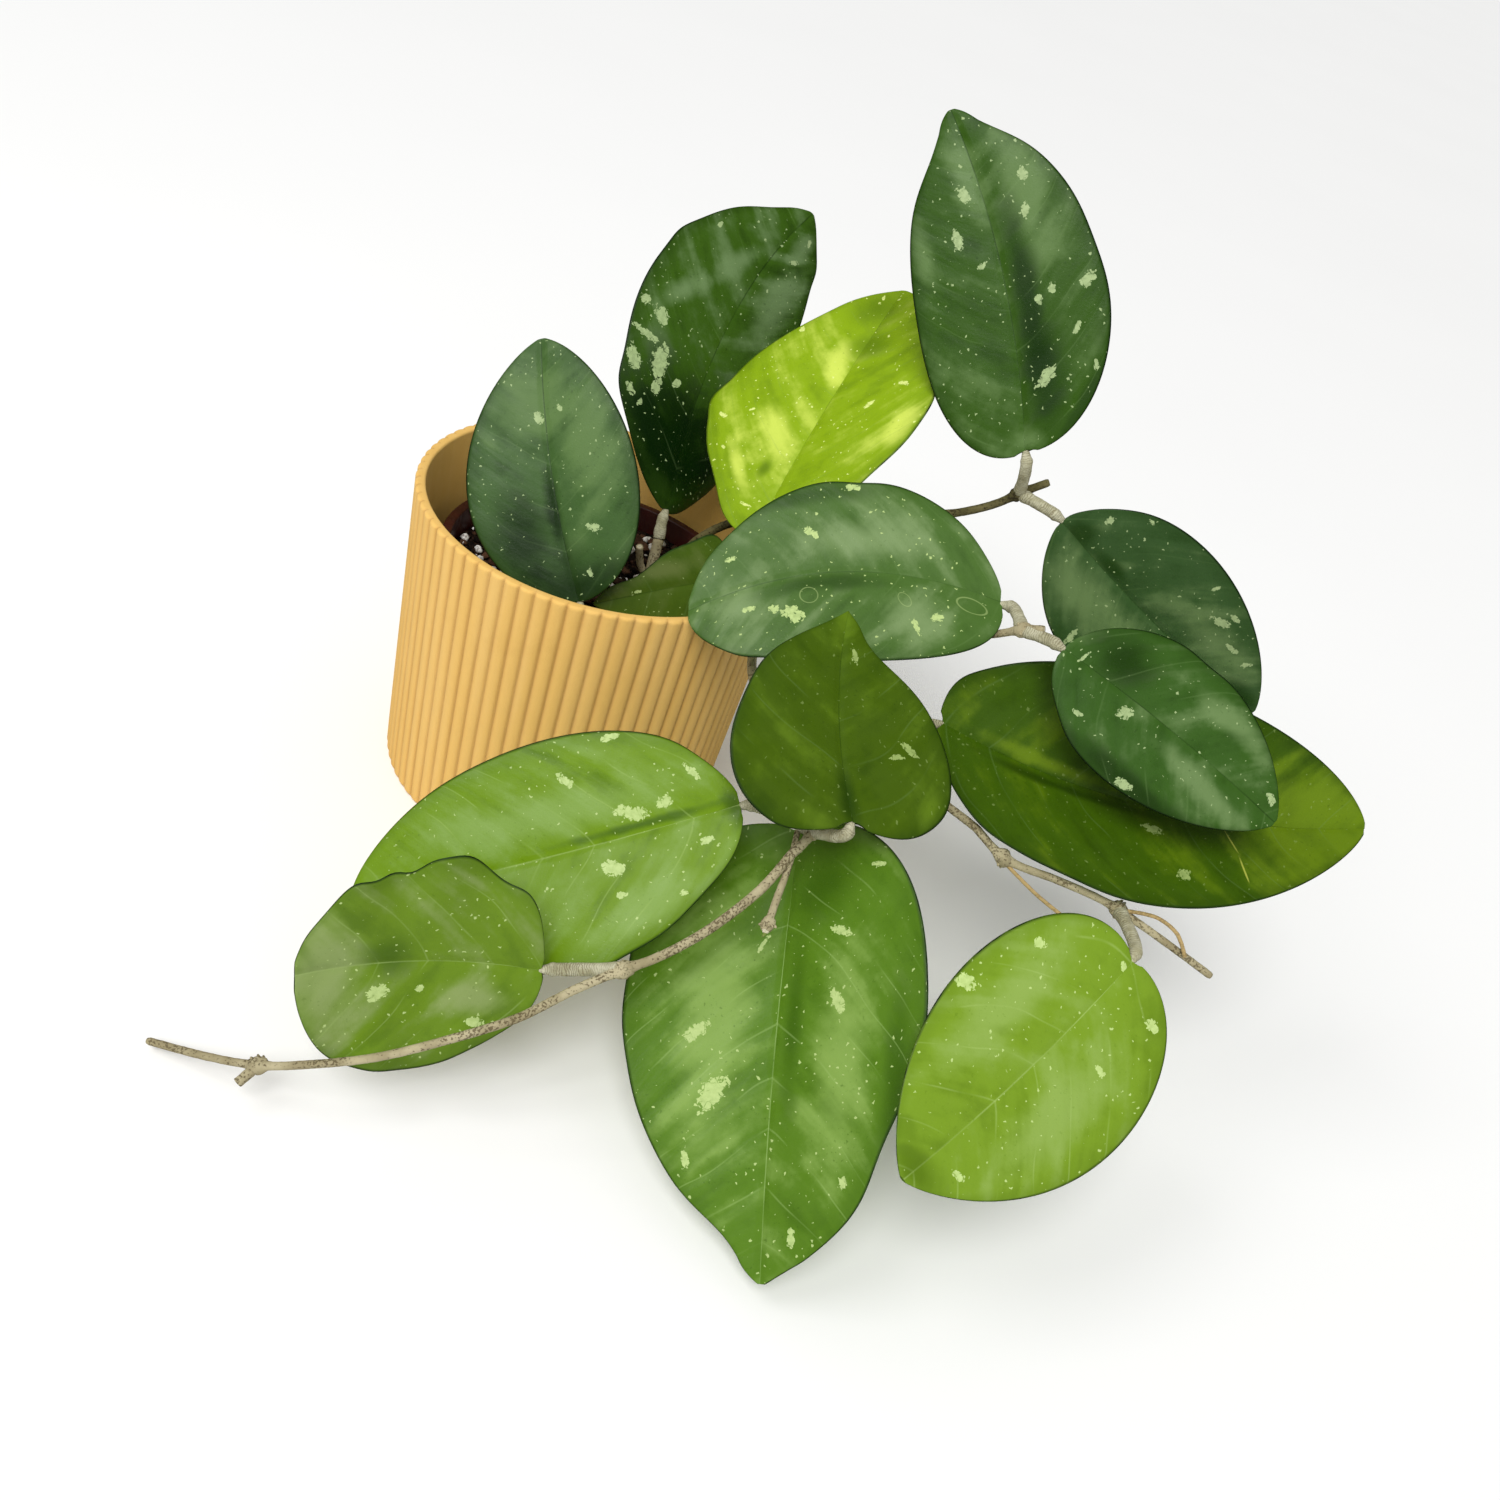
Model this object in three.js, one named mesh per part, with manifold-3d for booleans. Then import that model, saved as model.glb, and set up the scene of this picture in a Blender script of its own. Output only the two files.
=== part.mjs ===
// Potted joy hoya: a climbing plant in a grower's pot inside a fluted cover pot.
// Millimetres, +Z up. The origin is the middle of the cover pot's flat underside.
// The vines come over the rim on the +X side and trail down in front, towards -Y.

import * as THREE from 'three';
import { mergeVertices } from 'three/addons/utils/BufferGeometryUtils.js';
import Module from 'manifold-3d';

const wasm = await Module();
wasm.setup();

// Clearance between pieces that touch on the real plant
const GAP = 0.3;

// Cover pot: smooth inside, rounded upright flutes outside
const COVER = {
  height: 110, rimRadius: 65, taperDeg: 2.5, wall: 3.6, floor: 5,
  flutes: 76, grooveDepth: 1, columnsPerFlute: 3, lipRounding: 0.7, footRounding: 1.6, footFluting: 0.6,
};

// Grower's pot: thin plastic, rolled rim, drain holes in the floor
const GROWER = {
  height: 83, rimRadius: 54, bodyRadius: 51.8, footRadius: 43, wall: 1.3, rimDepth: 4, sides: 40,
  drainHoles: 5, drainRadius: 3.5, drainRing: 27,
};

// Potting soil, with perlite grains pressed into its top
const SOIL = {
  depthBelowRim: 8, bump: 0.85, rings: 6, grains: 46, grainSize: [1.1, 2.3], clearOfStems: 5.5, seed: 11,
};

// Stems stand this deep in plain holes in the soil
const FOOT_DEPTH = 28;
const HOLE_SIDES = 12;

// Heights above the soil between which a stem leaves its upright foot
const COLLAR = [-2, 6];

// Leaf blades: thickness at the midrib and at the margin, and how finely each is divided
const BLADE = { thickness: 1.7, edge: 0.9, rows: 14, columns: [-1, -0.62, -0.27, 0, 0.27, 0.62, 1] };

// A blade stops this share of its length short of both points, so that its ends are blunt
const BLUNT = 0.004;

// Makes the furthest reach of a blade's basal lobes equal to the leaf's lobe value
const LOBE_PEAK = 4.2;

// Where a blade's half width is less than this, its swings are scaled down with it
const SWING_FREE = 9;

// Turn in radians between the ripples of a blade's two margins
const RIPPLE_SHIFT = 1.3;

// Leaf stalks are corrugated and thicker than the vine that bears them. Each meets its blade on a
// course between straight along the midrib and straight from its node, by the share turn.
const STALK = { radius: 1.9, tipRadius: 1.4, lead: 3.5, turn: 0.8 };

// Each leaf: base and tip of its midrib, the way its upper side faces, its greatest width,
// the roundness of its base and of its tip, and its curvature as shares of length or width:
// arch lifts the midrib, sweep bends it sideways, fold raises both halves, cup lowers the
// margins, lobe draws the base back beside the stalk, and wave ripples the margin. Each swing
// moves one margin (1 or -1) out or in around a share of the length: side, middle, reach, mm.
const LEAVES = {
  leaf_pot_front: {
    base: [-2, -52, 104], tip: [-34, 5, 161], faces: [-0.3, -0.75, 0.6], width: 56,
    round: 0.54, point: 0.71, arch: 0.01, sweep: 0.03, fold: 0.14, cup: 0.03, colour: 0x2b5a2e,
  },
  leaf_pot_tall: {
    base: [19, 16, 107], tip: [46, 114, 191], faces: [0.52, -0.63, 0.57], width: 67,
    round: 0.71, point: 0.73, arch: 0.046, sweep: 0.109, fold: -0.01, cup: 0.18, lobe: 0.015,
    colour: 0x2c5b2b,
    swings: [[1, 0.22, 0.06, 2.6], [1, 0.67, 0.05, 1.2], [1, 0.92, 0.05, -1.8], [-1, 0.88, 0.04, 1.6],
      [-1, 0.08, 0.07, -0.8]],
  },
  leaf_lime: {
    base: [47.1, -21.9, 125.2], tip: [81.5, 67.4, 188.1], faces: [-0.59, -0.34, 0.74], width: 80.5,
    round: 0.55, point: 0.73, arch: 0.02, sweep: 0, fold: 0.15, cup: 0.02, colour: 0x86a524,
    swings: [[1, 0.14, 0.13, -6.4], [1, 0.43, 0.06, 3], [1, 0.6, 0.12, 1], [1, 0.93, 0.06, 1.5],
      [-1, 0.23, 0.12, -4], [-1, 0.53, 0.07, 1.3]],
  },
  leaf_rim_right: {
    base: [123, -55, 144], tip: [31, -56, 113], faces: [-0.25, -0.57, 0.78], width: 62,
    round: 0.49, point: 0.55, arch: 0.03, sweep: -0.11, fold: 0.14, cup: 0.03, lobe: 0.01, colour: 0x35682f,
    swings: [[-1, 0.45, 0.08, -1.3], [-1, 0.04, 0.05, -1.2], [-1, 0.94, 0.05, 1.1],
      [1, 0.83, 0.06, 0.9]],
  },
  leaf_top_right: {
    base: [121.4, -17.4, 177.8], tip: [73.4, 50.2, 253.2], faces: [-0.5, -0.76, 0.41], width: 62.7,
    round: 0.54, point: 0.73, arch: 0, sweep: -0.045, fold: 0.08, cup: 0.04, lobe: 0.03, colour: 0x2c5a2c,
    swings: [[-1, 0.93, 0.08, -2.5], [-1, 0.52, 0.12, -1.1], [1, 0.9, 0.1, -3],
      [1, 0.45, 0.2, -1.1]],
  },
  leaf_right_upper: {
    base: [140, -22, 161], tip: [218, -48, 126], faces: [-0.34, -0.94, 0.06], width: 58,
    round: 0.58, point: 0.77, arch: 0.01, sweep: -0.02, fold: 0.12, cup: 0.05, colour: 0x2f5f37,
    swings: [[-1, 0.08, 0.12, -1], [1, 0.06, 0.1, -1.2]],
  },
  leaf_right_small: {
    base: [140, -74, 145], tip: [207, -113, 129], faces: [-0.22, -0.69, 0.69], width: 48,
    round: 0.54, point: 0.71, arch: 0, sweep: 0.02, fold: 0.06, cup: 0.1, colour: 0x2a5a2e,
    swings: [[-1, 0.12, 0.08, -1.1], [1, 0.45, 0.08, -1]],
  },
  leaf_far_right: {
    base: [115, -73, 108], tip: [246, -93, 122], faces: [-0.17, -0.53, 0.83], width: 73,
    round: 0.62, point: 0.72, arch: -0.01, sweep: -0.075, fold: 0.29, cup: -0.12, lobe: 0.04,
    colour: 0x3c661a,
    swings: [[-1, 0.03, 0.04, -1.7], [-1, 0.17, 0.06, 1.6], [-1, 0.36, 0.08, -1.3],
      [1, 0.04, 0.05, 1.5]],
  },
  leaf_heart: {
    base: [87, -127, 103], tip: [75, -73, 138], faces: [0.12, -0.49, 0.86], width: 68,
    round: 0.55, point: 1.07, arch: -0.01, sweep: 0.054, fold: 0.12, cup: 0.05, lobe: 0.13, colour: 0x3f6412,
    swings: [[-1, 0.1, 0.08, -1.2], [-1, 0.81, 0.12, -4], [1, 0.76, 0.15, 3.6],
      [1, 0.045, 0.045, 2.3]],
  },
  leaf_left_long: {
    base: [57, -118, 93], tip: [-45, -136, 37], faces: [-0.3, -0.6, 0.74], width: 69,
    round: 0.52, point: 0.66, arch: 0, sweep: 0.01, fold: 0.13, cup: 0.04, colour: 0x4c8524,
    swings: [[-1, 0.05, 0.06, -2], [-1, 0.75, 0.12, 0.5], [1, 0.13, 0.1, -2.4],
      [1, 0.42, 0.06, 1.7]],
  },
  leaf_left_end: {
    base: [13, -160, 53], tip: [-51, -176, 47], faces: [0.4, -0.85, 0.3], width: 66,
    round: 0.62, point: 0.52, arch: -0.06, sweep: -0.025, fold: 0.1, cup: 0, lobe: 0.02,
    wave: 2, ripples: 3, colour: 0x4a8028,
    swings: [[-1, 0.08, 0.1, 8], [-1, 0.34, 0.1, 4], [-1, 0.56, 0.06, -6], [-1, 0.68, 0.07, -5],
      [-1, 0.89, 0.1, -5], [1, 0.33, 0.09, -2.2], [1, 0.52, 0.08, 1.4], [1, 0.87, 0.13, 4]],
  },
  leaf_low_centre: {
    base: [79.2, -103.8, 77.9], tip: [90.3, -214.4, 8.9], faces: [-0.5, -0.52, 0.69], width: 91.3,
    round: 0.59, point: 0.88, arch: 0.01, sweep: -0.01, fold: 0.24, cup: -0.07, lobe: 0.05, colour: 0x458a20,
    swings: [[-1, 0.39, 0.11, -2.2], [-1, 0.57, 0.08, -0.9], [-1, 0.91, 0.06, -3.6],
      [1, 0.56, 0.15, 2.9], [1, 0.86, 0.12, 6.6]],
  },
  leaf_low_right: {
    base: [172, -147, 95], tip: [113, -211, 60], faces: [0.13, -0.58, 0.81], width: 65.5,
    round: 0.6, point: 0.78, arch: -0.02, sweep: 0.025, fold: 0.08, cup: 0.09, lobe: 0.07, colour: 0x6aa02e,
  },
  leaf_rim_small: {
    base: [46, -24, 112], tip: [2, -46, 101], faces: [0.1, -0.8, 0.5], width: 26,
    round: 0.5, point: 0.86, arch: 0, sweep: -0.01, fold: 0.12, cup: 0.05, colour: 0x3d6b2a,
    swings: [[-1, 0.1, 0.14, 5], [-1, 0.68, 0.2, -4]],
  },
};

// Each stem: the spot where it stands in the soil, its route from the soil up, its radius and
// that of its end, the numbers of the route points that are swollen nodes, the leaves that
// grow from them, and its side shoots, each a route of its own with a radius.
const STEMS = {
  stem_pot_front: {
    foot: [0, -44], route: [[0, -48, 93]], radius: 1.6, end: 1.9,
    nodes: [], leaves: { leaf_pot_front: 1 }, shoots: [], colour: 0xa59a78,
  },
  stem_pot_tall: {
    foot: [19, 6], route: [[19, 7, 92], [19, 10, 99]], radius: 1.8, end: 1.9,
    nodes: [], leaves: { leaf_pot_tall: 2 },
    shoots: [{ route: [[19, 6, 84], [15, 5, 90], [13, 3, 98]], radius: 1.3 }], colour: 0xb3a68d,
  },
  vine_upper_right: {
    foot: [28, 14],
    route: [[31, 14, 98], [42, 11, 112], [60, 4, 124], [85, -6, 139], [108, -13, 149],
      [121, -13, 157], [126, -13, 162], [134, -12, 168]],
    radius: 1.6, end: 1.3, nodes: [7],
    leaves: { leaf_top_right: 7, leaf_right_upper: 7 }, shoots: [], colour: 0x6b6440,
  },
  vine_right: {
    foot: [38, 4],
    route: [[40, 2, 98], [48, -4, 110], [60, -10, 117], [85, -31, 124], [108, -51, 129],
      [121, -60, 135], [128.5, -66.5, 143.5], [134, -69, 147]],
    radius: 1.5, end: 1.2, nodes: [7],
    leaves: { leaf_rim_right: 7, leaf_right_small: 7 }, shoots: [], colour: 0x8d8264,
  },
  vine_front: {
    foot: [41, -12],
    route: [[44, -16, 98], [51, -22, 111], [58, -31, 115], [59, -43, 109], [55, -54, 102],
      [58, -68, 99], [69, -95, 96], [79, -118, 90], [74, -127, 87], [67, -138, 81],
      [53, -151, 71], [41, -159, 65], [34, -162, 62], [21, -169, 56], [10, -175, 49],
      [-7, -181, 41], [-25, -184, 31], [-43, -184, 22], [-56, -182, 15], [-73, -177, 8],
      [-89, -172, 3]],
    radius: 1.7, end: 1.1, nodes: [2, 8, 13, 19],
    leaves: {
      leaf_lime: 2, leaf_rim_small: 2, leaf_heart: 8, leaf_left_long: 8, leaf_low_centre: 8,
      leaf_left_end: 13,
    },
    shoots: [
      { route: [[75, -119, 89], [74, -129, 85], [72, -139, 81], [70.5, -147, 77]], radius: 1.2, knob: 2 },
      { route: [[-56, -182, 15], [-60, -186, 11]], radius: 1.5 },
    ],
    colour: 0xa8997c,
  },
  vine_far_right: {
    foot: [44, -3],
    route: [[47, -7, 98], [55, -14, 111], [62, -22, 115], [70, -38, 114], [84, -61, 108],
      [97, -81, 102], [109, -91, 99], [119, -101, 98], [128, -107, 97], [137, -114, 94],
      [151, -119, 95], [165, -123, 95], [172, -125, 94], [186, -130, 91], [203, -135, 86]],
    radius: 1.6, end: 1.1, nodes: [7, 10, 13],
    leaves: { leaf_far_right: 7, leaf_low_right: 13 },
    shoots: [
      { route: [[138, -115, 93], [148, -122, 90], [156, -126, 88]], radius: 0.6 },
      { route: [[173, -126, 95], [182, -128, 97], [189, -131, 95], [193, -134, 90]], radius: 0.6 },
    ],
    colour: 0xa8997c,
  },
};

// Steps along a stem, sides of its section, and how far a node stands proud of it
const STEP = 10;
const STEM_SIDES = 6;
const NODE_SWELLING = 1.1;

const vector = (values) => new THREE.Vector3(...values);

// Seeded random numbers from 0 to 1
function dice(seed) {
  let state = seed;
  return () => {
    state = (state * 1664525 + 1013904223) % 4294967296;
    return state / 4294967296;
  };
}

// Buffer geometry from a list of points and a list of corner numbers
function geometryOf(points, corners) {
  const geometry = new THREE.BufferGeometry();
  const values = points.flatMap((point) => [point.x, point.y, point.z]);
  geometry.setAttribute('position', new THREE.Float32BufferAttribute(values, 3));
  geometry.setIndex(corners);
  return geometry;
}

function solidOf(geometry) {
  const bare = geometry.clone();
  bare.deleteAttribute('normal');
  bare.deleteAttribute('uv');
  const merged = mergeVertices(bare, 1e-4);
  const vertProperties = new Float32Array(merged.attributes.position.array);
  const triVerts = new Uint32Array(merged.index.array);
  return new wasm.Manifold(new wasm.Mesh({ numProp: 3, vertProperties, triVerts }));
}

function geometryFromSolid(solid) {
  const mesh = solid.getMesh();
  const geometry = new THREE.BufferGeometry();
  geometry.setAttribute('position', new THREE.BufferAttribute(mesh.vertProperties, 3));
  geometry.setIndex(new THREE.BufferAttribute(mesh.triVerts, 1));
  return geometry;
}

// A closed skin through rings of equal count, with its first and last ring closed by a fan
function skin(rings) {
  const count = rings[0].length;
  const points = rings.flat();
  const corners = [];
  for (let ring = 0; ring + 1 < rings.length; ring += 1) {
    for (let k = 0; k < count; k += 1) {
      const a = ring * count + k;
      const b = ring * count + (k + 1) % count;
      corners.push(a, b, b + count, a, b + count, a + count);
    }
  }
  const middle = (ring) => ring.reduce((sum, p) => sum.add(p), new THREE.Vector3()).divideScalar(count);
  const first = points.push(middle(rings[0])) - 1;
  const last = points.push(middle(rings[rings.length - 1])) - 1;
  const start = (rings.length - 1) * count;
  for (let k = 0; k < count; k += 1) {
    corners.push(first, (k + 1) % count, k);
    corners.push(last, start + k, start + (k + 1) % count);
  }
  return geometryOf(points, corners);
}

// Radius of the cover pot's outer surface, over the crests of its flutes, at a height
function coverRadius(z) {
  return COVER.rimRadius - (COVER.height - z) * Math.tan(THREE.MathUtils.degToRad(COVER.taperDeg));
}

// One ring of the cover pot: full flutes at depth 1, a plain circle at depth 0
function flutedRing(radius, z, depth) {
  const count = COVER.flutes * COVER.columnsPerFlute;
  return Array.from({ length: count }, (_, k) => {
    const phase = (k % COVER.columnsPerFlute) / COVER.columnsPerFlute;
    const groove = COVER.grooveDepth * depth * (1 - Math.sqrt(Math.sin(Math.PI * phase)));
    const angle = (2 * Math.PI * k) / count;
    const r = radius - groove;
    return new THREE.Vector3(r * Math.cos(angle), r * Math.sin(angle), z);
  });
}

function coverPot() {
  const { height, wall, floor, lipRounding, footRounding } = COVER;
  const inner = (z) => coverRadius(z) - wall;
  return skin([
    flutedRing(coverRadius(0) - footRounding, 0, COVER.footFluting),
    flutedRing(coverRadius(footRounding), footRounding, 1),
    flutedRing(coverRadius(height - lipRounding), height - lipRounding, 1),
    flutedRing(coverRadius(height) - lipRounding, height, 1),
    flutedRing(inner(height), height, 0),
    flutedRing(inner(floor), floor, 0),
  ]);
}

const GROWER_FLOOR = COVER.floor + GAP;
const GROWER_TOP = GROWER_FLOOR + GROWER.height;

// Outer radius of the grower's pot at a height, below its rolled rim
function growerRadius(z) {
  const share = (z - GROWER_FLOOR) / GROWER.height;
  return GROWER.footRadius + (GROWER.bodyRadius - GROWER.footRadius) * share;
}

function growerPot() {
  const { rimRadius, rimDepth, wall } = GROWER;
  const shoulder = GROWER_TOP - rimDepth;
  const inside = GROWER_FLOOR + wall;
  const profile = [
    [0, GROWER_FLOOR],
    [growerRadius(GROWER_FLOOR), GROWER_FLOOR],
    [growerRadius(shoulder), shoulder],
    [rimRadius, shoulder],
    [rimRadius, GROWER_TOP],
    [growerRadius(GROWER_TOP) - wall, GROWER_TOP],
    [growerRadius(inside) - wall, inside],
    [0, inside],
  ].map(([r, z]) => new THREE.Vector2(r, z));
  const body = new THREE.LatheGeometry(profile, GROWER.sides).rotateX(Math.PI / 2);
  let solid = solidOf(body);
  for (let k = 0; k < GROWER.drainHoles; k += 1) {
    const angle = (2 * Math.PI * k) / GROWER.drainHoles;
    const hole = new THREE.CylinderGeometry(GROWER.drainRadius, GROWER.drainRadius, 4 * wall, 10);
    hole.rotateX(Math.PI / 2);
    hole.translate(GROWER.drainRing * Math.cos(angle), GROWER.drainRing * Math.sin(angle), GROWER_FLOOR);
    solid = solid.subtract(solidOf(hole));
  }
  return geometryFromSolid(solid);
}

const SOIL_TOP = GROWER_TOP - SOIL.depthBelowRim;
const SOIL_BOTTOM = GROWER_FLOOR + GROWER.wall + GAP;
const soilRadius = (z) => growerRadius(z) - GROWER.wall - GAP;

// Height of the soil's uneven top
function soilHeight(x, y) {
  const swell = Math.sin(x / 7 + 1.3) * Math.cos(y / 9 - 0.6) + 0.6 * Math.sin((x - y) / 4.3);
  return SOIL_TOP + SOIL.bump * swell;
}

function soilBody() {
  const circle = (r, height) => Array.from({ length: GROWER.sides }, (_, k) => {
    const angle = (2 * Math.PI * k) / GROWER.sides;
    const x = r * Math.cos(angle);
    const y = r * Math.sin(angle);
    return new THREE.Vector3(x, y, height === undefined ? soilHeight(x, y) : height);
  });
  const edge = soilRadius(SOIL_TOP - 2 * SOIL.bump) * Math.cos(Math.PI / GROWER.sides);
  const foot = soilRadius(SOIL_BOTTOM) * Math.cos(Math.PI / GROWER.sides);
  const tops = Array.from({ length: SOIL.rings }, (_, k) => circle(edge * (1 - k / SOIL.rings)));
  return skin([circle(foot, SOIL_BOTTOM), ...tops]);
}

function perliteGrains() {
  const roll = dice(SOIL.seed);
  const [small, large] = SOIL.grainSize;
  const feet = Object.values(STEMS).map(({ foot }) => new THREE.Vector2(...foot));
  const spots = Array.from({ length: SOIL.grains }, () => {
    const reach = (soilRadius(SOIL_TOP) - 2 * large) * Math.sqrt(roll());
    return new THREE.Vector2(reach, 0).rotateAround(new THREE.Vector2(), 2 * Math.PI * roll());
  }).filter((spot) => feet.every((foot) => spot.distanceTo(foot) > SOIL.clearOfStems));
  return spots.map(({ x, y }) => {
    const size = small + (large - small) * roll() ** 2;
    const grain = new THREE.OctahedronGeometry(size);
    grain.rotateX(6 * roll()).rotateZ(6 * roll()).scale(1, 0.8 + 0.4 * roll(), 0.8);
    grain.translate(x, y, soilHeight(x, y) + 0.2 * size);
    return solidOf(grain);
  });
}

function soil() {
  let solid = solidOf(soilBody());
  perliteGrains().forEach((grain) => { solid = solid.add(grain); });
  Object.values(STEMS).forEach(({ foot, radius }) => {
    const wide = (radius + GAP) / Math.cos(Math.PI / HOLE_SIDES);
    const hole = new THREE.CylinderGeometry(wide, wide, 2 * FOOT_DEPTH, HOLE_SIDES);
    hole.rotateX(Math.PI / 2);
    hole.translate(...foot, SOIL_TOP - GAP);
    solid = solid.subtract(solidOf(hole));
  });
  return geometryFromSolid(solid);
}

// Axes of a leaf: along its midrib, out of its upper side, and across it
function leafAxes(leaf) {
  const base = vector(leaf.base);
  const along = vector(leaf.tip).sub(base);
  const length = along.length();
  along.divideScalar(length);
  const up = vector(leaf.faces);
  up.addScaledVector(along, -up.dot(along)).normalize();
  const across = new THREE.Vector3().crossVectors(up, along);
  return { base, length, along, up, across };
}

// Half width of a blade at share t of its length, with a rounded base and a drawn-out tip
function halfWidth(leaf, t) {
  const widest = leaf.round / (leaf.round + leaf.point);
  return (leaf.width / 2) * (t / widest) ** leaf.round * ((1 - t) / (1 - widest)) ** leaf.point;
}

// Half width on one side, with that margin's swings, which die out towards base and tip
function sideWidth(leaf, t, side) {
  const half = halfWidth(leaf, t);
  const swings = (leaf.swings || []).filter(([which]) => which === side);
  const total = swings.reduce((sum, [, middle, reach, amount]) => (
    sum + amount * Math.exp(-(((t - middle) / reach) ** 2))), 0);
  return half + total * Math.min(1, half / SWING_FREE);
}

// A point on the blade: t runs from base to tip, v across from -1 to 1, lift along the normal
function bladePoint(leaf, axes, t, v, lift) {
  const half = sideWidth(leaf, t, v < 0 ? -1 : 1);
  const bow = 4 * t * (1 - t) * axes.length;
  const backward = (leaf.lobe || 0) * LOBE_PEAK * Math.sqrt(t) * (1 - t) ** 3 * v * v;
  const turn = 2 * Math.PI * (leaf.ripples || 0) * t + (v > 0 ? RIPPLE_SHIFT : 0);
  const ripple = (leaf.wave || 0) * v * v * Math.sin(turn) * Math.sqrt(Math.sin(Math.PI * t));
  const height = leaf.arch * bow + (leaf.fold * Math.abs(v) - leaf.cup * v * v) * half + ripple;
  return axes.base.clone()
    .addScaledVector(axes.along, axes.length * (t - backward))
    .addScaledVector(axes.across, v * half + leaf.sweep * bow)
    .addScaledVector(axes.up, height + lift);
}

// A closed slab from a grid of top and bottom points, both split along the same diagonals
function slab(rows, columns, place) {
  const points = [];
  [1, -1].forEach((side) => {
    for (let i = 0; i < rows; i += 1) {
      for (let j = 0; j < columns; j += 1) points.push(place(i, j, side));
    }
  });
  const under = rows * columns;
  const corners = [];
  for (let i = 0; i + 1 < rows; i += 1) {
    for (let j = 0; j + 1 < columns; j += 1) {
      const a = i * columns + j;
      const b = a + columns;
      corners.push(a, b, b + 1, a, b + 1, a + 1);
      corners.push(under + a, under + b + 1, under + b, under + a, under + a + 1, under + b + 1);
    }
  }
  const wall = (a, b) => corners.push(a, under + a, under + b, a, under + b, b);
  for (let i = 0; i + 1 < rows; i += 1) {
    wall(i * columns, (i + 1) * columns);
    wall((i + 2) * columns - 1, (i + 1) * columns - 1);
  }
  for (let j = 0; j + 1 < columns; j += 1) {
    wall(j + 1, j);
    wall((rows - 1) * columns + j, (rows - 1) * columns + j + 1);
  }
  return geometryOf(points, corners);
}

function leafBlade(leaf) {
  const axes = leafAxes(leaf);
  const { rows, columns, thickness, edge } = BLADE;
  return slab(rows, columns.length, (i, j, side) => {
    const even = 0.5 - 0.5 * Math.cos((Math.PI * i) / (rows - 1));
    const t = BLUNT + (1 - 2 * BLUNT) * even;
    const v = columns[j];
    const half = (thickness + (edge - thickness) * v * v) / 2;
    return bladePoint(leaf, axes, t, v, side * half);
  });
}

// A round stem through the given points, with a radius at each, in steps of about STEP
function stalk(points, radii, sides, step) {
  const curve = new THREE.CatmullRomCurve3(points, false, 'centripetal');
  const spans = points.length - 1;
  const rings = [];
  let normal;
  for (let k = 0; k < spans; k += 1) {
    const pieces = Math.max(1, Math.round(points[k].distanceTo(points[k + 1]) / step));
    for (let m = k === 0 ? 0 : 1; m <= pieces; m += 1) {
      const share = (k + m / pieces) / spans;
      const forward = curve.getTangent(share);
      normal = normal || new THREE.Vector3(forward.y, forward.z, forward.x).cross(forward);
      normal.addScaledVector(forward, -normal.dot(forward)).normalize();
      const side = new THREE.Vector3().crossVectors(forward, normal);
      const radius = radii[k] + (radii[k + 1] - radii[k]) * (m / pieces);
      const centre = curve.getPoint(share);
      rings.push(Array.from({ length: sides }, (_, n) => {
        const angle = (2 * Math.PI * n) / sides;
        return centre.clone()
          .addScaledVector(normal, radius * Math.cos(angle))
          .addScaledVector(side, radius * Math.sin(angle));
      }));
    }
  }
  return skin(rings);
}

// The leaf's own stalk, from a node of the vine to just short of the blade
function leafStalk(from, leaf) {
  const { base, along } = leafAxes(leaf);
  const course = from.clone().sub(base).setLength(STALK.turn).sub(along).normalize();
  const ahead = -course.dot(along);
  const short = (GAP + 0.6 * STALK.tipRadius * Math.sqrt(1 - ahead * ahead)) / ahead;
  const end = base.clone().addScaledVector(course, short);
  const lead = base.clone().addScaledVector(course, Math.max(STALK.lead, short + 1.5));
  const radii = [STALK.radius, STALK.radius, STALK.tipRadius];
  return solidOf(stalk([from, lead, end], radii, STEM_SIDES, STEP / 2));
}

// All points of a stem from the bottom of its hole in the soil to its end
function stemPoints({ foot, route }) {
  const upright = [-FOOT_DEPTH, ...COLLAR].map((rise) => new THREE.Vector3(...foot, SOIL_TOP + rise));
  return [...upright, ...route.map(vector)];
}

function knot(centre, radius) {
  const ball = new THREE.IcosahedronGeometry(radius, 0);
  ball.translate(centre.x, centre.y, centre.z);
  return solidOf(ball);
}

function stem(spec) {
  const points = stemPoints(spec);
  const at = (number) => points[number + 2];
  const last = points.length - 1;
  const radii = points.map((_, k) => spec.radius + (spec.end - spec.radius) * (k / last));
  let solid = solidOf(stalk(points, radii, STEM_SIDES, STEP));
  spec.nodes.forEach((number) => {
    solid = solid.add(knot(at(number), spec.radius + NODE_SWELLING));
  });
  Object.entries(spec.leaves).forEach(([name, number]) => {
    solid = solid.add(leafStalk(at(number), LEAVES[name]));
  });
  spec.shoots.forEach(({ route, radius, knob }) => {
    const shoot = route.map(vector);
    solid = solid.add(solidOf(stalk(shoot, shoot.map(() => radius), STEM_SIDES, STEP)));
    if (knob) solid = solid.add(knot(shoot[shoot.length - 1], knob));
  });
  return geometryFromSolid(solid);
}

const group = new THREE.Group();

function addMesh(name, geometry, color, roughness, metalness = 0) {
  const mesh = new THREE.Mesh(geometry, new THREE.MeshStandardMaterial({ color, roughness, metalness }));
  mesh.name = name;
  group.add(mesh);
}

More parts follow.
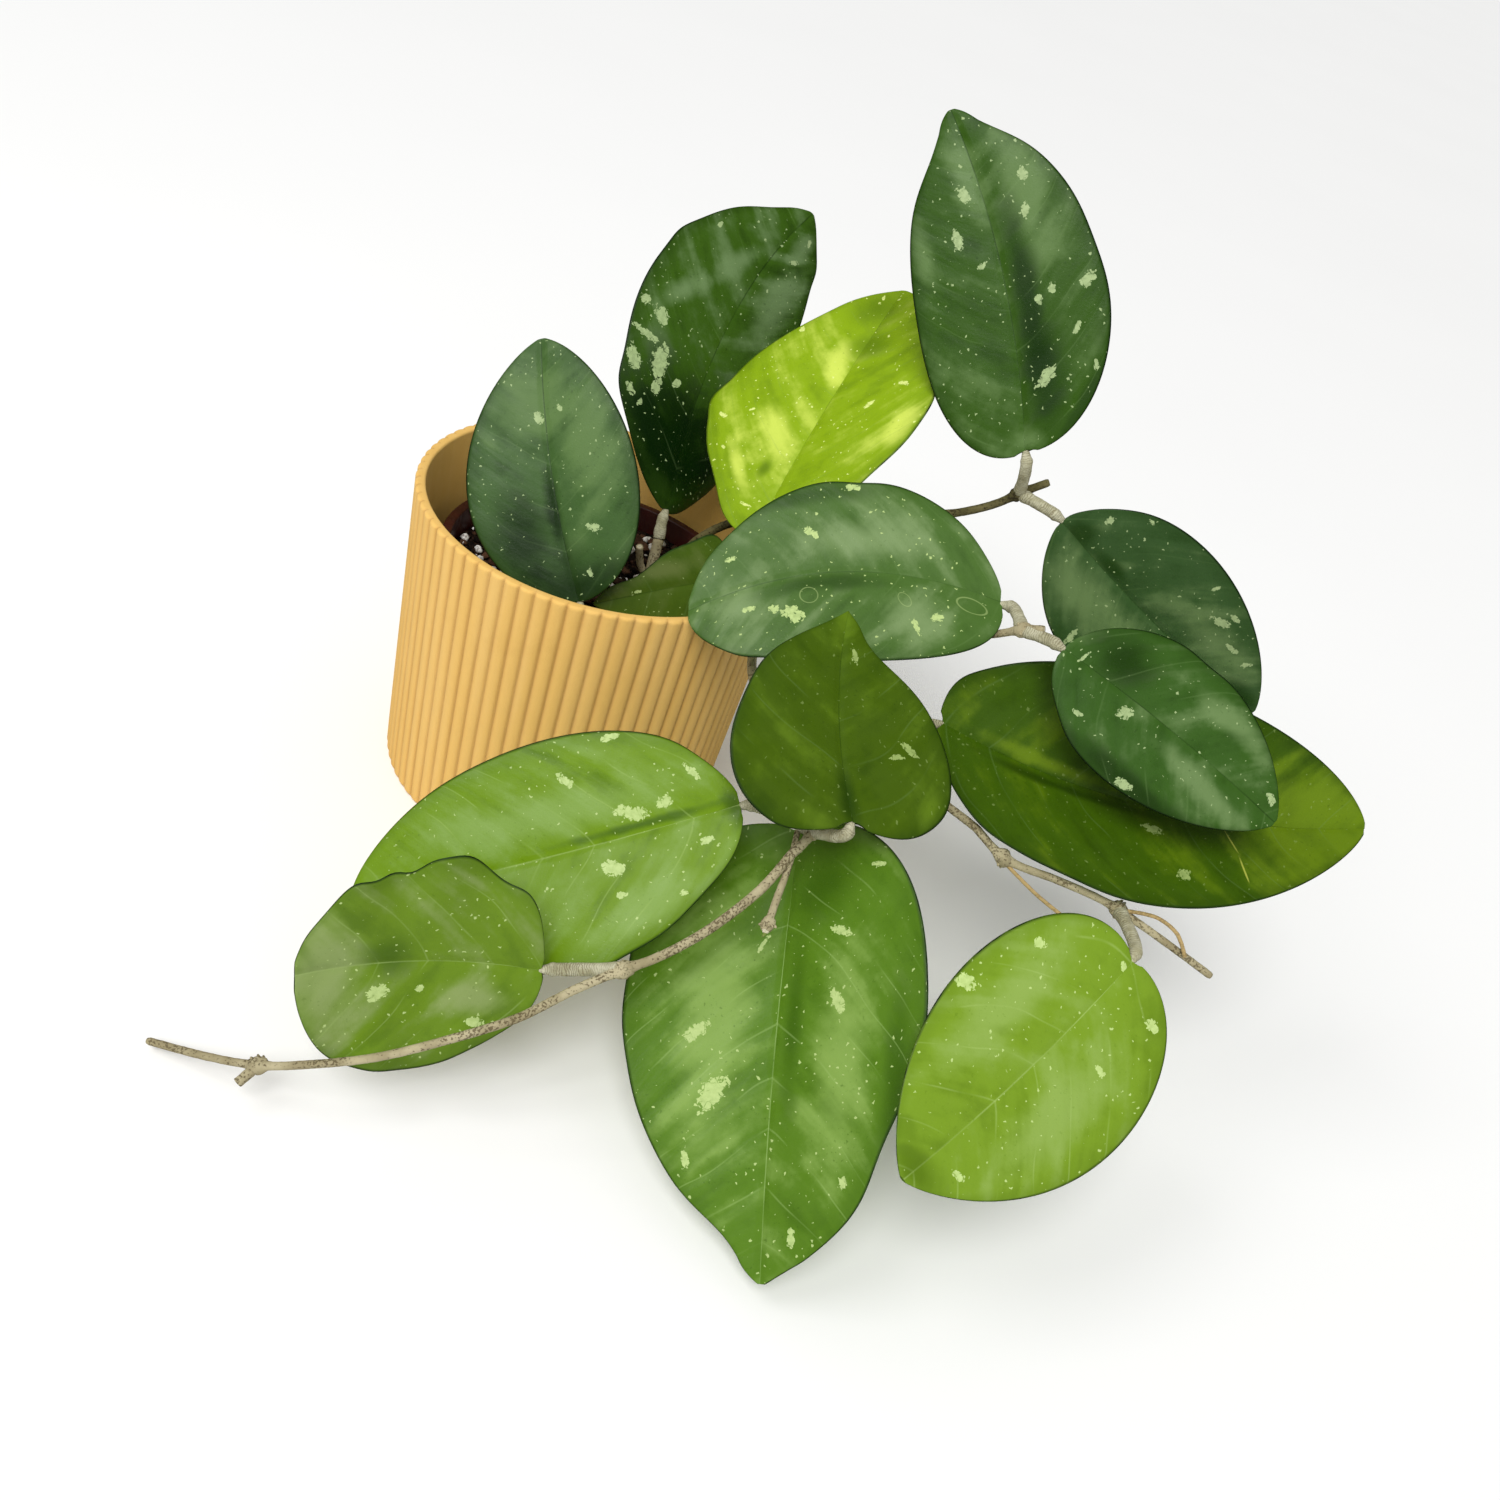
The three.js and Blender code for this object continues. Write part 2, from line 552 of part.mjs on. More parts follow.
addMesh('cover_pot', coverPot(), 0xe3bd62, 0.75);
addMesh('grower_pot', growerPot(), 0x4a2018, 0.5);
addMesh('soil', soil(), 0x1c1512, 0.95);
Object.entries(STEMS).forEach(([name, spec]) => addMesh(name, stem(spec), spec.colour, 0.8));
Object.entries(LEAVES).forEach(([name, leaf]) => addMesh(name, leafBlade(leaf), leaf.colour, 0.4));

export default group;
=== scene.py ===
# %% [markdown]
# # A potted joy hoya
# A hoya is a climbing plant with thick, waxy leaves. This one stands in a thin grower's pot inside
# a fluted mustard-yellow cover pot, and its vines hang over the rim. The solids of the part come in
# first as a fixed frame, and each one is then dressed with a finer piece in the same place.

# %% Load the solids
import math
import random

import bmesh
import bpy
from mathutils import Matrix, Vector, noise


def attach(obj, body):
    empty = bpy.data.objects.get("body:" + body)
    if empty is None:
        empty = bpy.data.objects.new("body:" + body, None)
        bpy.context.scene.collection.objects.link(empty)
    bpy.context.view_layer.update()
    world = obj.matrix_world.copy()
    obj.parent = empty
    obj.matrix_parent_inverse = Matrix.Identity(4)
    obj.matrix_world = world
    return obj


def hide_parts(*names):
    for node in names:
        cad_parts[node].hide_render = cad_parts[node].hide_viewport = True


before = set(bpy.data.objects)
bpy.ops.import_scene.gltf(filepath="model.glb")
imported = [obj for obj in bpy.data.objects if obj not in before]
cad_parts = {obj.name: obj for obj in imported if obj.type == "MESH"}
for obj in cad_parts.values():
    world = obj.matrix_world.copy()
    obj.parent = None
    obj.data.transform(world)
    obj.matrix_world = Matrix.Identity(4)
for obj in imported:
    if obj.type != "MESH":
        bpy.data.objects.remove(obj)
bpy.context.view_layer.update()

# %% [markdown]
# ## Millimetres
# The plant was measured in millimetres and Blender works in metres, so every size below is written
# in millimetres and multiplied by MM once, where it becomes geometry.

# %% Units and ways to make a piece
MM = 0.001


def millimetres(x, y, z):
    return Vector((x, y, z)) * MM


def finish_piece(name, bm, finishes, solids=()):
    """Makes the finished mesh an object that rides on the plant's one body and stands for its solids."""
    mesh = bpy.data.meshes.new(name)
    for face in bm.faces:
        face.smooth = True
    bm.to_mesh(mesh)
    bm.free()
    for finish in finishes:
        mesh.materials.append(finish)
    piece = bpy.data.objects.new(name, mesh)
    bpy.context.scene.collection.objects.link(piece)
    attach(piece, "root")
    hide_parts(*solids)
    print(name, len(mesh.vertices), "vertices", len(mesh.polygons), "faces")
    return piece


# %% [markdown]
# ## The camera
# The view was worked out from the ellipse of the pot's rim and the slant of its flutes. The camera
# stands close, looks down on the rim and is turned about its own axis, because the real pot was
# held aslant while ours stands upright.

# %% Camera
CAMERA_PLACE = (0, -455, 357)
CAMERA_PAN = 9.1
CAMERA_TILT = 35.6
CAMERA_ROLL = 19.4

camera = bpy.data.objects.new("camera", bpy.data.cameras.new("camera"))
bpy.context.scene.collection.objects.link(camera)
camera.data.lens = 36
camera.data.sensor_width = 36
camera.data.clip_start = 0.01
aim = Matrix.Rotation(math.radians(-CAMERA_PAN), 4, "Z")
aim = aim @ Matrix.Rotation(math.radians(90 - CAMERA_TILT), 4, "X")
aim = aim @ Matrix.Rotation(math.radians(CAMERA_ROLL), 4, "Z")
camera.matrix_world = Matrix.Translation(millimetres(*CAMERA_PLACE)) @ aim
bpy.context.scene.camera = camera
print("camera looks along", [round(-side, 3) for side in aim.col[2][:3]])

# %% [markdown]
# ## Nodes in few words
# Every finish below is a small net of shader nodes. These helpers add one node each, so that a
# finish reads like a recipe: noise here, a mix of two colours there.

# %% Helpers for shader nodes


def paint(code):
    """A colour written as six hexadecimal digits, as the shader's linear values."""
    channels = [int(code[k:k + 2], 16) / 255 for k in (0, 2, 4)]
    linear = [c / 12.92 if c <= 0.04045 else ((c + 0.055) / 1.055) ** 2.4 for c in channels]
    return (*linear, 1.0)


def add_node(tree, kind, inputs=(), **settings):
    """Adds a node. Each input is a value, or the output of another node, which is then linked."""
    node = tree.nodes.new("ShaderNode" + kind)
    for setting, value in settings.items():
        setattr(node, setting, value)
    for socket, value in dict(inputs).items():
        if isinstance(value, bpy.types.NodeSocket):
            tree.links.new(value, node.inputs[socket])
        else:
            node.inputs[socket].default_value = value
    return node


def calc(tree, operation, *values):
    return add_node(tree, "Math", enumerate(values), operation=operation).outputs[0]


def calc_vector(tree, operation, *values):
    node = add_node(tree, "VectorMath", enumerate(values), operation=operation)
    return node.outputs["Value" if operation in ("LENGTH", "DISTANCE") else "Vector"]


def rise(tree, value, low, high, start=0.0, end=1.0):
    """A smooth step from start to end while the value goes from low to high."""
    inputs = {"Value": value, "From Min": low, "From Max": high, "To Min": start, "To Max": end}
    return add_node(tree, "MapRange", inputs, interpolation_type="SMOOTHSTEP").outputs[0]


def mix(tree, share, first, second):
    """Blends two colours by a share from 0 to 1."""
    return add_node(tree, "Mix", {0: share, 6: first, 7: second}, data_type="RGBA").outputs[2]


def cloud(tree, place, scale, detail=2.0, roughness=0.5):
    """Soft noise from about 0.2 to 0.8 at a place."""
    inputs = {"Vector": place, "Scale": scale, "Detail": detail, "Roughness": roughness}
    return add_node(tree, "TexNoise", inputs).outputs[0]


def cells(tree, place, scale, feature="F1"):
    """Voronoi cells at a place: the distance, and a random colour for each cell."""
    inputs = {"Vector": place, "Scale": scale}
    settings = {"feature": feature, "voronoi_dimensions": "2D"}
    return add_node(tree, "TexVoronoi", inputs, **settings).outputs


def attribute(tree, name):
    return add_node(tree, "Attribute", attribute_name=name).outputs["Fac"]


def new_finish(name, **settings):
    """A material with its node tree, its Principled shader and its Object coordinates."""
    material = bpy.data.materials.new(name)
    material.use_nodes = True
    tree = material.node_tree
    shader = tree.nodes["Principled BSDF"]
    for socket, value in settings.items():
        shader.inputs[socket.replace("_", " ")].default_value = value
    place = add_node(tree, "TexCoord").outputs["Object"]
    return material, tree, shader, place


def stretched(tree, place, x, y, z):
    return calc_vector(tree, "MULTIPLY", place, (x, y, z))


def relief(tree, shader, height, depth):
    """Bump of a real depth in metres."""
    bump = add_node(tree, "Bump", {"Height": height, "Distance": depth})
    tree.links.new(bump.outputs[0], shader.inputs["Normal"])


# %% [markdown]
# ## The studio
# The photo has a bare white ground and soft light from behind the camera. A wide pale floor, a
# white sky at half strength and one wide sun light it. Only the window light is left visible in
# reflections, so that the waxy leaves show soft highlights without a veil over their colours.

# %% Floor, sky and lights
FLOOR_REACH = 40
SKY = 0.5


def new_light(name, kind, energy, place, **settings):
    light = bpy.data.lights.new(name, kind)
    light.energy = energy
    for setting, value in settings.items():
        setattr(light, setting, value)
    lamp = bpy.data.objects.new(name, light)
    lamp.location = place
    lamp.rotation_euler = (Vector((0.06, -0.05, 0.08)) - Vector(place)).to_track_quat("-Z", "Y").to_euler()
    bpy.context.scene.collection.objects.link(lamp)
    return lamp


def make_floor():
    material, tree, shader, place = new_finish("studio_floor", Roughness=0.9)
    shade = mix(tree, cloud(tree, place, 3.0), paint("f6f6f5"), paint("f9f9f8"))
    tree.links.new(shade, shader.inputs["Base Color"])
    bm = bmesh.new()
    bmesh.ops.create_grid(bm, x_segments=1, y_segments=1, size=FLOOR_REACH)
    mesh = bpy.data.meshes.new("floor")
    bm.to_mesh(mesh)
    bm.free()
    mesh.materials.append(material)
    floor = bpy.data.objects.new("floor", mesh)
    floor.location.z = -0.0003
    floor.visible_glossy = False
    bpy.context.scene.collection.objects.link(floor)
    return floor


make_floor()
bpy.context.scene.view_settings.view_transform = "Standard"
bpy.context.scene.world = bpy.data.worlds.new("sky")
bpy.context.scene.world.use_nodes = True
sky = bpy.context.scene.world.node_tree.nodes["Background"]
sky.inputs["Color"].default_value = (1, 1, 1, 1)
sky.inputs["Strength"].default_value = SKY
bpy.context.scene.world.cycles_visibility.glossy = False
sun = new_light("sun", "SUN", 2.0, (-0.15, -0.72, 1.0), angle=math.radians(30))
sun.visible_glossy = False
new_light("window", "AREA", 2.5, (-0.55, -0.35, 0.95), size=0.45)

# %% [markdown]
# ## The cover pot
# The cover pot is smooth inside and has 76 rounded upright flutes outside, each a shallow convex
# rib with a narrow groove beside it. It could be a cylinder with a wave modifier, but the grooves
# would lose their sharp bottoms. Here one ring of edges is extruded from height to height, and each
# new ring is given its radius, so the flutes are real geometry and fade out over the lip and foot.

# %% Cover pot: sizes and profile
COVER = {"height": 110, "rim": 65, "taper": 2.5, "wall": 3.6, "floor": 5, "flutes": 76, "groove": 1}
COLUMNS_PER_FLUTE = 12
LIP = 1.1
FOOT = 1.6


def cover_radius(z):
    return COVER["rim"] - (COVER["height"] - z) * math.tan(math.radians(COVER["taper"]))


def cover_rows():
    """Rings of the cover pot from foot to lip and down inside: height, radius, depth of fluting."""
    height, wall, floor = COVER["height"], COVER["wall"], COVER["floor"]
    rows = [(0, cover_radius(0) - FOOT - 4, 0), (0, cover_radius(0) - FOOT, 0.35)]
    for k in range(1, 5):
        turn = math.pi / 2 * k / 4
        radius = cover_radius(0) - FOOT * (1 - math.sin(turn))
        rows.append((FOOT * (1 - math.cos(turn)), radius, 0.35 + 0.65 * k / 4))
    rows += [(z, cover_radius(z), 1) for z in range(10, 109, 14)]
    for k in range(6):
        turn = math.pi / 2 * k / 5
        z = height - LIP + LIP * math.sin(turn)
        rows.append((z, cover_radius(z) - LIP * (1 - math.cos(turn)), 1 - 0.25 * k / 5))
    inner = height - 0.9
    rows.append((height + 0.02, cover_radius(height) - wall / 2, 0.25))
    for k in range(4):
        turn = math.pi / 2 * k / 3
        radius = cover_radius(inner) - wall + 0.9 * (1 - math.sin(turn))
        rows.append((inner + 0.9 * math.cos(turn), radius, 0))
    rows += [(z, cover_radius(z) - wall, 0) for z in (90, 60, 30, floor + 4)]
    rows += [(floor + 1.2, cover_radius(floor) - wall - 1.2, 0), (floor, cover_radius(floor) - wall - 4, 0)]
    return rows


# %% Cover pot: mesh
def make_cover_pot(finish):
    bm = bmesh.new()
    crest_layer = bm.verts.layers.float.new("crest")
    segments = COVER["flutes"] * COLUMNS_PER_FLUTE
    ring = bmesh.ops.create_circle(bm, cap_ends=False, radius=1, segments=segments)["verts"]
    edges = list(bm.edges)

    def place_ring(verts, row):
        z, radius, depth = row
        for vert in verts:
            angle = math.atan2(vert.co.y, vert.co.x)
            phase = (angle / (2 * math.pi) * COVER["flutes"] + 1e-4) % 1
            groove = 1 - math.sqrt(math.sin(math.pi * phase))
            r = (radius - COVER["groove"] * depth * groove) * MM
            vert.co = (r * math.cos(angle), r * math.sin(angle), z * MM)
            vert[crest_layer] = 1 - groove * depth

    rows = cover_rows()
    place_ring(ring, rows[0])
    bmesh.ops.edgeloop_fill(bm, edges=edges)
    for row in rows[1:]:
        grown = bmesh.ops.extrude_edge_only(bm, edges=edges)["geom"]
        edges = [part for part in grown if isinstance(part, bmesh.types.BMEdge)]
        place_ring([part for part in grown if isinstance(part, bmesh.types.BMVert)], row)
    bmesh.ops.edgeloop_fill(bm, edges=edges)
    bmesh.ops.recalc_face_normals(bm, faces=bm.faces)
    return finish_piece("cover_pot_fluted", bm, [finish], ["cover_pot"])


# %% [markdown]
# The finish is a matte mustard paint. It is a little lighter on the crests of the flutes and a darker
# ochre in the grooves, with faint upright streaks and a fine grain that breaks the highlights.

# %% Cover pot: finish


def cover_pot_glaze():
    material, tree, shader, place = new_finish("cover_pot_glaze", Roughness=0.6, Specular_IOR_Level=0.35)
    crest = attribute(tree, "crest")
    # Darker ochre towards the bottoms of the grooves, lighter on the crests.
    body = mix(tree, rise(tree, crest, 0.1, 1.0), paint("c79a52"), paint("e6b965"))
    streaks = cloud(tree, stretched(tree, place, 180, 180, 9), 1.0, detail=4)
    body = mix(tree, rise(tree, streaks, 0.35, 0.75, 0, 0.3), body, paint("eec67c"))
    dust = cloud(tree, place, 45, detail=6, roughness=0.65)
    body = mix(tree, rise(tree, dust, 0.5, 0.8, 0, 0.18), body, paint("b58742"))
    tree.links.new(body, shader.inputs["Base Color"])
    tree.links.new(rise(tree, dust, 0.3, 0.8, 0.5, 0.72), shader.inputs["Roughness"])
    grain = cloud(tree, place, 1600, detail=2)
    relief(tree, shader, grain, 0.00008)
    return material


make_cover_pot(cover_pot_glaze())

# %% [markdown]
# ## The grower's pot
# Inside stands the thin plastic pot in which the plant was sold. Only its dark red-brown rim shows.
# Its wall is turned about the pot's axis from one profile with a rounded rim, which is what spin
# does. Its floor is a flat ring of edges with the drain holes cut out, filled and then thickened.

# %% Grower's pot: sizes
GROWER = {"height": 83, "rim": 54, "body": 51.8, "foot": 43, "wall": 1.3, "rim_depth": 4}
DRAIN = {"holes": 5, "radius": 3.5, "ring": 27}
GAP = 0.3
GROWER_FLOOR = COVER["floor"] + GAP
GROWER_TOP = GROWER_FLOOR + GROWER["height"]
TURNS = 120


def grower_radius(z):
    return GROWER["foot"] + (GROWER["body"] - GROWER["foot"]) * (z - GROWER_FLOOR) / GROWER["height"]


def grower_profile():
    """The wall's closed outline: up the outside, over the rolled rim and down the inside."""
    wall, rim, shoulder = GROWER["wall"], GROWER["rim"], GROWER_TOP - GROWER["rim_depth"]
    outline = [(GROWER["foot"] - 1, GROWER_FLOOR), (GROWER["foot"], GROWER_FLOOR + 1)]
    outline += [(grower_radius(shoulder - 0.6), shoulder - 0.6), (grower_radius(shoulder) + 0.5, shoulder)]
    outline += [(rim - 0.4, shoulder), (rim, shoulder + 0.4)]
    for k in range(5):
        turn = math.pi / 2 * k / 4
        outline.append((rim - 0.8 * (1 - math.cos(turn)), GROWER_TOP - 0.8 * (1 - math.sin(turn))))
    inner = grower_radius(GROWER_TOP) - wall
    outline += [(inner + 0.5, GROWER_TOP), (inner + 0.1, GROWER_TOP - 0.2), (inner, GROWER_TOP - 0.7)]
    outline += [(grower_radius(GROWER_FLOOR + wall) - wall, GROWER_FLOOR + wall)]
    outline += [(GROWER["foot"] - 1.5, GROWER_FLOOR)]
    return outline


# %% Grower's pot: mesh
def spin_profile(bm, outline, steps, closed):
    """Turns an outline of radius and height once round the pot's axis."""
    verts = [bm.verts.new(millimetres(r, 0, z)) for r, z in outline]
    pairs = list(zip(verts, verts[1:]))
    if closed:
        pairs.append((verts[-1], verts[0]))
    edges = [bm.edges.new(pair) for pair in pairs]
    bmesh.ops.spin(bm, geom=verts + edges, axis=(0, 0, 1), cent=(0, 0, 0), angle=2 * math.pi,
                   steps=steps, use_merge=True, use_normal_flip=False, use_duplicate=False)
    bmesh.ops.remove_doubles(bm, verts=bm.verts, dist=1e-7)
    bmesh.ops.recalc_face_normals(bm, faces=bm.faces)


def add_drained_floor(bm):
    """A disc with round holes: the hole rims and the edge are filled as one face, then thickened."""
    edges = []
    spots = [(0, 0, GROWER["foot"] - 1.4)]
    for k in range(DRAIN["holes"]):
        angle = 2 * math.pi * k / DRAIN["holes"]
        spots.append((DRAIN["ring"] * math.cos(angle), DRAIN["ring"] * math.sin(angle), DRAIN["radius"]))
    for x, y, radius in spots:
        spot = Matrix.Translation(millimetres(x, y, GROWER_FLOOR))
        segments = TURNS if radius > DRAIN["radius"] else 24
        circle = bmesh.ops.create_circle(
            bm, cap_ends=False, radius=radius * MM, segments=segments, matrix=spot)
        verts = circle["verts"]
        edges += list({edge for vert in verts for edge in vert.link_edges})
    filled = bmesh.ops.triangle_fill(bm, use_beauty=True, edges=edges, normal=(0, 0, -1))["geom"]
    faces = [part for part in filled if isinstance(part, bmesh.types.BMFace)]
    grown = bmesh.ops.extrude_face_region(bm, geom=faces, use_keep_orig=True)["geom"]
    raised = [part for part in grown if isinstance(part, bmesh.types.BMVert)]
    bmesh.ops.translate(bm, verts=raised, vec=millimetres(0, 0, GROWER["wall"]))


def make_grower_pot(finish):
    bm = bmesh.new()
    spin_profile(bm, grower_profile(), TURNS, closed=True)
    add_drained_floor(bm)
    bmesh.ops.recalc_face_normals(bm, faces=bm.faces)
    return finish_piece("grower_pot_plastic", bm, [finish], ["grower_pot"])


# %% Grower's pot: finish


def grower_pot_plastic():
    material, tree, shader, place = new_finish("grower_pot_plastic", Roughness=0.42)
    shade = cloud(tree, place, 70, detail=5, roughness=0.6)
    body = mix(tree, rise(tree, shade, 0.35, 0.7), paint("31100e"), paint("4a1a16"))
    dust = cloud(tree, stretched(tree, place, 500, 500, 160), 1.0, detail=4)
    body = mix(tree, rise(tree, dust, 0.62, 0.78, 0, 0.3), body, paint("7a5a4c"))
    tree.links.new(body, shader.inputs["Base Color"])
    tree.links.new(rise(tree, dust, 0.4, 0.7, 0.38, 0.6), shader.inputs["Roughness"])
    relief(tree, shader, cloud(tree, place, 1100), 0.00005)
    return material


make_grower_pot(grower_pot_plastic())

# %% [markdown]
# ## The soil
# The potting mix is black and crumbly: bark chips, fine crumbs and coir threads, with white perlite
# grains. Its top is a disc spun from one radius and raised by a formula. The chips and grains are
# small icospheres knocked out of shape, and each carries its own tone for the finish to read.

# %% Soil: its top
SOIL_TOP = GROWER_TOP - 8
SOIL_BOTTOM = GROWER_FLOOR + GROWER["wall"] + GAP
SOIL_BUMP = 0.85
STEM_FEET = [(0, -44), (19, 6), (28, 14), (38, 4), (41, -12), (44, -3)]


def soil_radius(z):
    return grower_radius(z) - GROWER["wall"] - 0.15


def soil_height(x, y):
    swell = math.sin(x / 7 + 1.3) * math.cos(y / 9 - 0.6) + 0.6 * math.sin((x - y) / 4.3)
    return SOIL_TOP + SOIL_BUMP * swell


def make_soil(finish):
    bm = bmesh.new()
    edge = soil_radius(SOIL_TOP)
    outline = [(edge * k / 44, SOIL_TOP) for k in range(45)]
    outline += [(soil_radius(SOIL_TOP - 6), SOIL_TOP - 6), (soil_radius(SOIL_BOTTOM), SOIL_BOTTOM)]
    outline.append((0, SOIL_BOTTOM))
    spin_profile(bm, outline, 150, closed=False)
    tone = bm.verts.layers.float.new("tone")
    for vert in bm.verts:
        x, y = vert.co.x / MM, vert.co.y / MM
        if vert.co.z > (SOIL_TOP - 1) * MM:
            crumb = noise.fractal(vert.co * 260, 0.7, 2.0, 4)
            vert.co.z = (soil_height(x, y) - 0.5 + 0.9 * crumb) * MM
            vert[tone] = 0.25 + 0.2 * crumb
    return finish_piece("soil_top", bm, [finish], ["soil"])


# %% Soil: chips, perlite and coir
BATCH = 40


def grain_place(dice, size, flatness, sink):
    """Where a grain lies and how it is turned and stretched, or None on a stem's foot."""
    angle = dice.uniform(0, 2 * math.pi)
    reach = (soil_radius(SOIL_TOP) - size - 0.3) * math.sqrt(dice.random())
    x, y = reach * math.cos(angle), reach * math.sin(angle)
    turn = Matrix.Rotation(dice.uniform(0, 6), 4, "Z") @ Matrix.Rotation(dice.uniform(-0.5, 0.5), 4, "X")
    stretch = Matrix.Diagonal((dice.uniform(1.0, 1.6), 1, flatness * dice.uniform(0.8, 1.2), 1))
    if any(math.hypot(x - fx, y - fy) < size + 2 for fx, fy in STEM_FEET):
        return None
    return Matrix.Translation(millimetres(x, y, soil_height(x, y) + sink * size)) @ turn @ stretch


def make_grains(name, finish, count, sizes, flatness, subdivisions, sink, tones):
    """Strews knocked-about grains over the soil. A batch of them is made at a time, which is quicker."""
    bm = bmesh.new()
    bm.verts.layers.float.new("tone")
    dice = random.Random(name)
    handful = bpy.data.meshes.new("handful")
    for _ in range(count // BATCH):
        batch = bmesh.new()
        tone = batch.verts.layers.float.new("tone")
        for _ in range(BATCH):
            size = sizes[0] + (sizes[1] - sizes[0]) * dice.random() ** 2.5
            spot = grain_place(dice, size, flatness, sink)
            if spot is None:
                continue
            grain = bmesh.ops.create_icosphere(
                batch, subdivisions=subdivisions, radius=size * MM, matrix=spot)
            shade = dice.uniform(*tones)
            for vert in grain["verts"]:
                vert.co += Vector([dice.uniform(-0.2, 0.2) * size * MM for _ in range(3)])
                vert[tone] = shade
        batch.to_mesh(handful)
        batch.free()
        bm.from_mesh(handful)
    bpy.data.meshes.remove(handful)
    return finish_piece(name, bm, [finish])


# %% [markdown]
# Soil hardly shines. Its colour runs from near black to bark brown by the tone of each chip, and
# the perlite is a chalky white with grey pits and a little soil on it.

# %% Soil: finishes


def potting_soil():
    material, tree, shader, place = new_finish("potting_soil", Roughness=0.9, Specular_IOR_Level=0.25)
    mottled = rise(tree, cloud(tree, place, 420, 4), 0.3, 0.8, -0.2, 0.3)
    shade = calc(tree, "ADD", attribute(tree, "tone"), mottled)
    body = mix(tree, rise(tree, shade, 0.1, 0.9), paint("120b09"), paint("5a3d2b"))
    tree.links.new(body, shader.inputs["Base Color"])
    relief(tree, shader, cloud(tree, place, 900, detail=4), 0.0004)
    return material


def perlite_chalk():
    material, tree, shader, place = new_finish("perlite_chalk", Roughness=0.85)
    pits = cloud(tree, place, 900, detail=3, roughness=0.6)
    body = mix(tree, rise(tree, pits, 0.35, 0.6), paint("9c948c"), paint("efece6"))
    soiled = cloud(tree, place, 260, detail=2)
    body = mix(tree, rise(tree, soiled, 0.55, 0.7, 0, 0.6), body, paint("5c4a3e"))
    tree.links.new(body, shader.inputs["Base Color"])
    relief(tree, shader, pits, 0.0003)
    return material


soil_finish = potting_soil()
make_soil(soil_finish)
make_grains("soil_crumbs", soil_finish, count=1400, sizes=(0.5, 1.3), flatness=0.7, subdivisions=1,
            sink=0.1, tones=(0.0, 0.5))
make_grains("bark_chips", soil_finish, count=160, sizes=(1.2, 3.2), flatness=0.45, subdivisions=2,
            sink=0.15, tones=(0.2, 0.9))
make_grains("perlite_grains", perlite_chalk(), count=280, sizes=(0.4, 2.3), flatness=0.8,
            subdivisions=2, sink=0.25, tones=(0, 1))

# %% [markdown]
# ## Leaves: the shape of a blade
# Every blade follows the same formula with its own values. The midrib runs from base to tip, the
# outline is round at the base and drawn out at the tip, both halves rise from the midrib by the
# fold, the margins fall by the cup, and some blades bend sideways, arch or ripple. No real margin
# is even, so swings push one side out or in around a share of the length: side, middle, reach and
# millimetres. A flat grid is made first, then each of its points is moved to its place.

